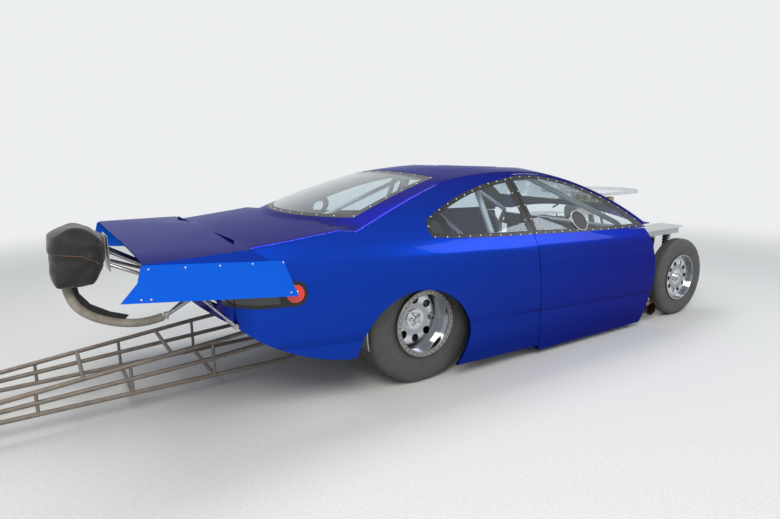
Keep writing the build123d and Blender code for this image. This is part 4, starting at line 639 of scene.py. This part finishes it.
def build_spoiler_fittings():
    """Screws of the side plates, and the end fittings at the feet of the struts."""
    screws, ends = bmesh.new(), bmesh.new()
    for _, sign in SIDES:
        for x, z in PLATE_SCREWS:
            add_screw(screws, at(x, sign * PLATE_FACE_Y, z), (0, sign, 0), SCREW_R)
        foot, head = [at(x, sign * y, z) for x, y, z in (STRUT_FOOT, STRUT_HEAD)]
        along, across = (head - foot).normalized(), Vector((0, 1, 0))
        for (radius, low, high), direction, segments in (
                (STRUT_SHANK, along, 20), (STRUT_LOCK_NUT, along, 6), (STRUT_EYE, across, 24)):
            add_bar(ends, foot + direction * low * MM, foot + direction * high * MM, radius, segments)
    piece_from(screws, "spoiler_plate_screws", SCREW, "chassis", crease=60)
    piece_from(ends, "spoiler_strut_ends", STEEL, "chassis")


# Vents in the door panes: place and radius, how far the screen and the edge stand off, and their thicknesses
VENT_X, VENT_Z, VENT_R = 1365, 917, 78
VENT_SCREEN_OFF, VENT_SCREEN_THICK = 1.5, 2
VENT_EDGE_OFF, VENT_EDGE_R = 2, 5


def build_door_vents():
    """A round screened vent with a rolled steel edge, let into each door pane."""
    for side, sign in SIDES:
        surface = surface_of("door_window_" + side)
        place, normal, _, _ = surface.ray_cast(at(VENT_X, sign * CLEAR_Y, VENT_Z), Vector((0, -sign, 0)))
        turn = facing(place, normal)
        screen = bmesh.new()
        bmesh.ops.create_circle(screen, cap_ends=True, segments=48, radius=VENT_R * MM,
                                matrix=turn @ Matrix.Translation((0, 0, VENT_SCREEN_OFF * MM)))
        bmesh.ops.solidify(screen, geom=screen.faces[:], thickness=VENT_SCREEN_THICK * MM)
        piece_from(screen, "door_vent_screen_" + side, BLACK_PLASTIC, "door_" + side)
        edge = bmesh.new()
        upright = Matrix.Translation((VENT_R * MM, 0, 0)) @ Matrix.Rotation(pi / 2, 4, "X")
        section = bmesh.ops.create_circle(edge, segments=12, radius=VENT_EDGE_R * MM, matrix=upright)
        bmesh.ops.spin(edge, geom=section["verts"] + edge.edges[:], cent=(0, 0, 0), axis=(0, 0, 1), angle=2 * pi,
                       steps=48, use_merge=True)
        bmesh.ops.recalc_face_normals(edge, faces=edge.faces)
        bmesh.ops.transform(edge, matrix=turn @ Matrix.Translation((0, 0, VENT_EDGE_OFF * MM)), verts=edge.verts)
        piece_from(edge, "door_vent_rim_" + side, STEEL, "door_" + side, crease=60)


# Hatch over the middle of the roof, where the roof is flat and falls slightly forward
HATCH_PLACE, HATCH_FACING = (1000, 0, 1298), (0.0454, 0, 1)
HATCH_LONG, HATCH_WIDE, HATCH_THICK, HATCH_CORNER = 360, 320, 3, 30
HATCH_SCREW_INSET, HATCH_SCREWS, HATCH_SCREW_R = 14, 5, 4


def build_roof_hatch():
    """Enamelled sheet hatch with rounded corners, and the row of screws round its edge."""
    sheet, screws = bmesh.new(), bmesh.new()
    turn = facing(at(*HATCH_PLACE), HATCH_FACING)
    bmesh.ops.create_cube(sheet, size=MM, matrix=Matrix.Diagonal((HATCH_LONG, HATCH_WIDE, HATCH_THICK, 1)))
    rounded(sheet, [edge for edge in sheet.edges if edge.verts[0].co.xy == edge.verts[1].co.xy], HATCH_CORNER, 6)
    bmesh.ops.transform(sheet, matrix=turn @ Matrix.Translation((0, 0, HATCH_THICK / 2 * MM)), verts=sheet.verts)
    piece_from(sheet, "roof_hatch", BLUE, "chassis")
    half_long, half_wide = HATCH_LONG / 2 - HATCH_SCREW_INSET, HATCH_WIDE / 2 - HATCH_SCREW_INSET
    for k in range(HATCH_SCREWS):
        share = (2 * k + 1) / HATCH_SCREWS - 1
        for x, y in ((share * half_long, half_wide), (share * half_long, -half_wide), (half_long, share * half_wide),
                     (-half_long, share * half_wide)):
            add_screw(screws, turn @ (Vector((x, y, HATCH_THICK)) * MM), HATCH_FACING, HATCH_SCREW_R)
    piece_from(screws, "roof_hatch_screws", SCREW, "chassis", crease=60)


# Parachute bag and its tether, in the car's middle plane

PACK_LOW, PACK_HIGH = (-1911, -134, 731), (-1641, 134, 1049)
TETHER_ROUTE = [(-1850, 721), (-1838, 632), (-1775, 548), (-1668, 486), (-1545, 450), (-1440, 446), (-1366.5, 461)]
TETHER_MM = 50
RELEASE_STRAP = [(-1815, 726), (-1806, 655), (-1756, 585), (-1662, 526), (-1566, 490)]
# Half the release strap's width, square to its run, so that its flat sides face the car's sides
RELEASE_HALF_WIDTH, RELEASE_THICK = Vector((15.1, 0, 16.0)), 4


def build_tether():
    """Limp nylon sleeve that hangs from the bag in one curve and runs to its anchor, and the flat release strap on
    its inner side."""
    curve = bpy.data.curves.new("parachute_tether_sleeve", "CURVE")
    curve.dimensions = "3D"
    curve.bevel_depth = TETHER_MM / 2 * MM
    curve.bevel_resolution = 5
    curve.resolution_u = 12
    curve.use_fill_caps = True
    spline = curve.splines.new("NURBS")
    spline.points.add(len(TETHER_ROUTE) - 1)
    for point, (x, z) in zip(spline.points, TETHER_ROUTE):
        point.co = (*at(x, 0, z), 1.0)
    spline.order_u = 3
    spline.use_endpoint_u = True
    curve.materials.append(SLEEVE)
    sleeve = bpy.data.objects.new("parachute_tether_sleeve", curve)
    bpy.context.scene.collection.objects.link(sleeve)
    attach(sleeve, "chassis")
    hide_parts("parachute_tether")
    flat = bmesh.new()
    strap(flat, [at(x, 0, z) for x, z in RELEASE_STRAP], RELEASE_HALF_WIDTH, RELEASE_THICK)
    release = piece_from(flat, "parachute_release_strap", WEBBING, "chassis", crease=50)


# How the box of the bag is drawn in, in metres or in shares of its length, width and height: its ends bow, its lower
# front is cut back, its top falls away to both ends, and its foot and the ends of its top narrow
END_BOW = 0.16
FOOT_CUT, FOOT_SHARE = 0.07, 0.45
CROWN_FALL, CROWN_SHARE, CROWN_SPREAD = 0.075, 0.45, 1.7
FOOT_TAPER, TOP_TAPER = 0.14, 0.1
BAG_CUTS = 22


def bag_shape():
    """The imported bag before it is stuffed: a box drawn back at its lower front edge, whose top falls away to the
    front and the back."""
    bm = bmesh.new()
    low, high = at(*PACK_LOW), at(*PACK_HIGH)
    add_block(bm, low, high)
    bmesh.ops.subdivide_edges(bm, edges=bm.edges[:], cuts=BAG_CUTS, use_grid_fill=True)
    size = high - low
    middle = at((PACK_LOW[0] + PACK_HIGH[0]) / 2, 0, 0).x
    for vert in bm.verts:
        u, v, w = [(vert.co[i] - low[i]) / size[i] for i in range(3)]
        bowed = 1 - END_BOW * (2 * v - 1) ** 2 * (0.5 + w)
        vert.co.x = middle + (vert.co.x - middle) * bowed
        vert.co.x -= FOOT_CUT * u * max(0.0, FOOT_SHARE - w) / FOOT_SHARE
        vert.co.z -= CROWN_FALL * (abs(u - CROWN_SHARE) * CROWN_SPREAD) ** 2 * w
        vert.co.y *= 1 - FOOT_TAPER * (1 - w) - TOP_TAPER * w * abs(2 * u - 1)
    return bm


def stuffed(piece, frames=20, pressure=3.0, cap_mm=16):
    """Lets cloth swell under pressure, and holds each point within a cap of where it began."""
    start = [vert.co.copy() for vert in piece.data.vertices]
    cloth = piece.modifiers.new("stuffing", "CLOTH")
    cloth.settings.use_pressure = True
    cloth.settings.uniform_pressure_force = pressure
    cloth.settings.effector_weights.gravity = 0
    scene = bpy.context.scene
    for number in range(1, frames + 1):
        scene.frame_set(number)
    shaped = bpy.data.meshes.new_from_object(piece.evaluated_get(bpy.context.evaluated_depsgraph_get()))
    moved = [vert.co.copy() for vert in shaped.vertices]
    piece.modifiers.remove(cloth)
    scene.frame_set(1)
    for vert, before, after in zip(piece.data.vertices, start, moved):
        step = after - before
        if step.length > cap_mm * MM:
            step *= cap_mm * MM / step.length
        vert.co = before + step


# Folds of the bag, in metres: pleats from a point on its front, the groove under the cord, and small creases. They
# push out less upwards than sideways, and no fold stands further forward than the limit
FOLD_POINT_Z = 930
PLEATS, PLEATS_PER_METRE, PLEAT_WANDER, PLEAT_DEEP, PLEAT_START = 9, 9, 2.5, 0.004, 0.1
GROOVE_REAR_Z, GROOVE_FALL, GROOVE_DEEP, GROOVE_HALF = 0.90, 0.25, 0.009, 0.02
CREASES_PER_METRE, CREASE_DEEP = 16, 0.004
UPWARD_SHARE, FRONT_LIMIT = 0.6, 0.004


def crease_bag(piece):
    """Folds that radiate from the middle of the bag's front and gather under the cord along its sides."""
    low, high = at(*PACK_LOW), at(*PACK_HIGH)
    point = at(PACK_HIGH[0], 0, FOLD_POINT_Z)
    for vert in piece.data.vertices:
        away = vert.co - point
        turn = atan2(away.z, -away.x) * PLEATS + noise.noise(vert.co * PLEATS_PER_METRE) * PLEAT_WANDER
        pleat = sin(turn) * PLEAT_DEEP * min(1.0, away.length / PLEAT_START)
        above_cord = vert.co.z - (GROOVE_REAR_Z - GROOVE_FALL * (vert.co.x - low.x))
        groove = -GROOVE_DEEP * max(0.0, 1 - abs(above_cord) / GROOVE_HALF)
        crease = noise.noise(vert.co * CREASES_PER_METRE) * CREASE_DEEP
        outward = vert.co - (low + high) / 2
        outward.z *= UPWARD_SHARE
        vert.co += outward.normalized() * (pleat + groove + crease)
        vert.co.x = min(vert.co.x, high.x + FRONT_LIMIT)


def build_bag():
    """Stuffed nylon bag, creased where it is laced."""
    bag = piece_from(bag_shape(), "parachute_bag", NYLON, "chassis", crease=180)
    stuffed(bag)
    crease_bag(bag)
    finer = bag.modifiers.new("finer", "SUBSURF")
    finer.levels = finer.render_levels = 1
    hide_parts("parachute_pack")
    return bag


# The cord's way along the bag's side as (x, z), the steps between its points, its radius, and where rays start
LACING = [(-1894, 915), (-1763, 896), (-1700, 860), (-1660, 826)]
LACING_STEPS, LACING_R = 8, 3
CLEAR_OF_BAG_Y = 300


def build_lacing(bag):
    """Thin draw cord drawn tight along each side of the bag."""
    surface = BVHTree.FromObject(bag, bpy.context.evaluated_depsgraph_get())
    stations = [(a + (c - a) * k / LACING_STEPS, b + (d - b) * k / LACING_STEPS)
                for (a, b), (c, d) in zip(LACING, LACING[1:]) for k in range(LACING_STEPS)] + LACING[-1:]
    for side, sign in SIDES:
        bm = bmesh.new()
        hits = [surface.ray_cast(at(x, sign * CLEAR_OF_BAG_Y, z), Vector((0, -sign, 0))) for x, z in stations]
        places = [place + normal * MM for place, normal, _, _ in hits if place]
        for start, end in zip(places, places[1:]):
            add_bar(bm, start, end, LACING_R, 10)
            bmesh.ops.create_icosphere(bm, subdivisions=2, radius=LACING_R * MM, matrix=Matrix.Translation(end))
        piece_from(bm, "parachute_lacing_" + side, BROWN_CORD, "chassis", crease=60)


# Small parts of the engine, in stations

CRANK_Z = 300
# Sine and cosine of the banks' lean
BANK_LEAN = 0.7071
# A fuel log along each row of ports, with a pipe from each port inwards, and a nut round it that reaches from and to
# across the log
FUEL_LOG_X, FUEL_LOG_Y, FUEL_LOG_Z, FUEL_LOG_R = (2290, 2660), 92, 940, 9
PORTS_X, PIPE_END_Y, PIPE_RISE, PIPE_R = (2302, 2418, 2532, 2648), 50, 6, 8
PORT_NUT, PORT_NUT_R = (-6, 14), 13
# How far out along the bank, and across it, the plugs and the bolts of the covers sit
PLUGS_X, PLUG_REACH, PLUG_ACROSS = (2317, 2439, 2561, 2683), 322, 86
BOOT_OUT, BOOT_DOWN, BOOT_LONG, BOOT_R = 0.93, 0.1, 55, 9
COVER_BOLTS_X, COVER_REACH, COVER_BOLTS_ACROSS, COVER_BOLT_R = (2262, 2368, 2475, 2582, 2688), 418, (-50, 50), 6
# Two bowls on each side of a carburettor, with an inlet nut between them and a hose that falls back from it
CARBURETTORS_X, BOWL_STEPS = (2360, 2590), (-62, 62)
BOWL_Y, BOWL_HALF_LONG, BOWL_HALF_WIDE, BOWL_LOW, BOWL_HIGH, BOWL_ROUND = 122, 42, 30, 914, 972, 7
INLET_Y, INLET_Z, INLET_R = (150, 190), (930, 918), 11
HOSE_BACK, HOSE_END_Y, HOSE_END_Z, HOSE_R = 90, 215, 870, 8


def on_bank(x, sign, reach, across):
    """Place on a bank of cylinders: so far out from the crank along it, and so far across it."""
    return at(x, sign * (reach + across) * BANK_LEAN, CRANK_Z + (reach - across) * BANK_LEAN)


def build_engine_dress():
    """Fuel logs with their pipes and fittings, plug boots, cover bolts and the bowls of the carburettors."""
    logs, fittings, boots, bolts, bowls = [bmesh.new() for _ in range(5)]
    for _, sign in SIDES:
        y, z = sign * FUEL_LOG_Y, FUEL_LOG_Z
        add_bar(logs, *[at(x, y, z) for x in FUEL_LOG_X], FUEL_LOG_R)
        for x in PORTS_X:
            add_bar(fittings, at(x, y, z), at(x, sign * PIPE_END_Y, z + PIPE_RISE), PIPE_R)
            add_bar(fittings, *[at(x, y + sign * reach, z) for reach in PORT_NUT], PORT_NUT_R, 6)
        out = Vector((0, sign * BOOT_OUT, -BOOT_DOWN)).normalized()
        for x in PLUGS_X:
            seat = on_bank(x, sign, PLUG_REACH, PLUG_ACROSS)
            add_bar(boots, seat, seat + out * BOOT_LONG * MM, BOOT_R)
        for x in COVER_BOLTS_X:
            for across in COVER_BOLTS_ACROSS:
                add_screw(bolts, on_bank(x, sign, COVER_REACH, across), (0, sign, 1), COVER_BOLT_R)
    for _, sign in SIDES:
        for x in CARBURETTORS_X:
            for step in BOWL_STEPS:
                add_block(bowls, at(x + step - BOWL_HALF_LONG, sign * BOWL_Y - BOWL_HALF_WIDE, BOWL_LOW),
                          at(x + step + BOWL_HALF_LONG, sign * BOWL_Y + BOWL_HALF_WIDE, BOWL_HIGH))
            inlet = [at(x, sign * y, z) for y, z in zip(INLET_Y, INLET_Z)]
            add_bar(fittings, *inlet, INLET_R, 6)
            add_bar(logs, inlet[1], at(x - HOSE_BACK, sign * HOSE_END_Y, HOSE_END_Z), HOSE_R)
    rounded(bowls, bowls.edges[:], BOWL_ROUND)
    piece_from(bowls, "carburettor_bowls", GOLD_ALLOY, "chassis")
    piece_from(logs, "fuel_logs", BLUE_ANODISED, "chassis")
    piece_from(fittings, "fuel_log_fittings", RED_ANODISED, "chassis")
    piece_from(boots, "plug_boots", BLACK_PLASTIC, "chassis")
    piece_from(bolts, "cover_bolts", SCREW, "chassis", crease=60)


# Driver's place: the belts' way over the seat as (x, z), the buckle's corners, and the gauges as (y, z, radius)

BELT_ROUTE = [(690, 905), (770, 945), (812, 900), (850, 760), (880, 600), (935, 440), (985, 350)]
BELTS_Y, BELT_HALF_WIDTH, BELT_THICK = (300, 450), Vector((0, 36, 0)), 3
BUCKLE_LOW, BUCKLE_HIGH, BUCKLE_ROUND = (965, 345, 345), (1005, 405, 365), 4
GAUGES = [(375, 745, 40), (270, 745, 30), (480, 745, 30), (180, 745, 26), (570, 745, 26)]
PANEL_X, BEZEL_X, GAUGE_FACE_X, BEZEL_WIDE = 2046, 2028, 2026.5, 5


def build_harness():
    """Shoulder belts over the driver's seat, and the buckle that they run to."""
    bm = bmesh.new()
    for y in BELTS_Y:
        strap(bm, [at(x, y, z) for x, z in BELT_ROUTE], BELT_HALF_WIDTH, BELT_THICK)
    piece_from(bm, "shoulder_belts", WEBBING, "chassis", crease=50)
    buckle = bmesh.new()
    add_block(buckle, at(*BUCKLE_LOW), at(*BUCKLE_HIGH))
    rounded(buckle, buckle.edges[:], BUCKLE_ROUND)
    piece_from(buckle, "harness_buckle", POLISHED, "chassis")


def build_gauges():
    """Round gauges on the instrument panel, with their bright bezels."""
    bezels, faces = bmesh.new(), bmesh.new()
    for y, z, radius in GAUGES:
        add_bar(bezels, at(PANEL_X, y, z), at(BEZEL_X, y, z), radius, 32)
        add_bar(faces, at(BEZEL_X, y, z), at(GAUGE_FACE_X, y, z), radius - BEZEL_WIDE, 32)
    piece_from(bezels, "gauge_bezels", POLISHED, "chassis")
    piece_from(faces, "gauge_faces", BLACK_PLASTIC, "chassis")


# Stage

# The floor is whole up to the first distance in metres and gone at the second
FLOOR_FADE = (4.5, 9.0)
# Lights turned to one place: name, place, width and height, watts and colour
LIT_PLACE = (0, 0, 0.5)
LIGHTS = [("key", (-3.0, -4.5, 5.0), (3.0, 3.0), 230, "#fff8ee"),
          ("fill", (4.0, -4.0, 3.0), (3.0, 2.0), 70, "#eef4ff"),
          ("top", (0.0, 1.5, 5.5), (5.0, 2.0), 150, "#ffffff")]


def build_world():
    """Soft even light, and a pale background for the camera, mirrors and glass to see."""
    world = bpy.data.worlds.new("studio")
    world.use_nodes = True
    tree = world.node_tree
    tree.nodes.clear()
    path = add(tree, "LightPath").outputs
    seen = add(tree, "Math", {0: path["Is Camera Ray"], 1: path["Is Glossy Ray"]}, operation="MAXIMUM")
    background = add(tree, "Math", {0: seen, 1: path["Is Transmission Ray"]}, operation="MAXIMUM")
    soft = add(tree, "Background", {"Color": linear("#e9eef4"), "Strength": 0.75})
    pale = add(tree, "Background", {"Color": linear("#eceeef"), "Strength": 1.0})
    add(tree, "OutputWorld", {"Surface": add(tree, "MixShader", {0: background, 1: soft, 2: pale})})
    bpy.context.scene.world = world


def build_floor():
    """Pale floor that fades into the background all round."""
    bm = bmesh.new()
    bmesh.ops.create_circle(bm, cap_ends=True, segments=64, radius=FLOOR_FADE[1])
    mesh = bpy.data.meshes.new("studio_floor")
    bm.to_mesh(mesh)
    bm.free()
    material, tree, place = new_material("pale_floor")
    away = add(tree, "VectorMath", {0: place}, operation="LENGTH").outputs["Value"]
    fade = add(tree, "MapRange", {"Value": away, "From Min": FLOOR_FADE[0], "From Max": FLOOR_FADE[1]},
               interpolation_type="SMOOTHSTEP")
    speckle = add(tree, "TexNoise", {"Vector": place, "Scale": per_mm(14.0), "Detail": 2.0})
    tone = add(tree, "ValToRGB", {"Fac": speckle}, stops=[(0.35, "#c9c9c7"), (0.65, "#d1d1cf")])
    ground = add(tree, "BsdfPrincipled", {"Base Color": tone, "Roughness": 0.85})
    clear = add(tree, "BsdfTransparent")
    add(tree, "OutputMaterial", {"Surface": add(tree, "MixShader", {0: fade, 1: ground, 2: clear})})
    mesh.materials.append(material)
    floor = bpy.data.objects.new("studio_floor", mesh)
    bpy.context.scene.collection.objects.link(floor)


def build_lights():
    """Large soft area lights."""
    for name, place, sides, watts, colour in LIGHTS:
        data = bpy.data.lights.new(name, "AREA")
        data.shape = "RECTANGLE"
        data.size, data.size_y = sides
        data.energy = watts
        data.color = linear(colour)[:3]
        light = bpy.data.objects.new(name, data)
        light.location = place
        light.rotation_euler = (Vector(LIT_PLACE) - Vector(place)).to_track_quat("-Z", "Y").to_euler()
        bpy.context.scene.collection.objects.link(light)


build_tether()
for node_name, node_object in frame["nodes"].items():
    node_object.data.materials.clear()
    node_object.data.materials.append(finish_of(node_name))
    if not node_name.startswith(("rear_tyre", "front_tyre", "parachute_pack", "parachute_tether")):
        smooth_over(node_name)
build_wheels()
build_pane_screws()
build_spoiler_fittings()
build_door_vents()
build_lacing(build_bag())
build_roof_hatch()
build_engine_dress()
build_harness()
build_gauges()
build_world()
build_floor()
build_lights()
bpy.context.scene.view_settings.view_transform = "Standard"
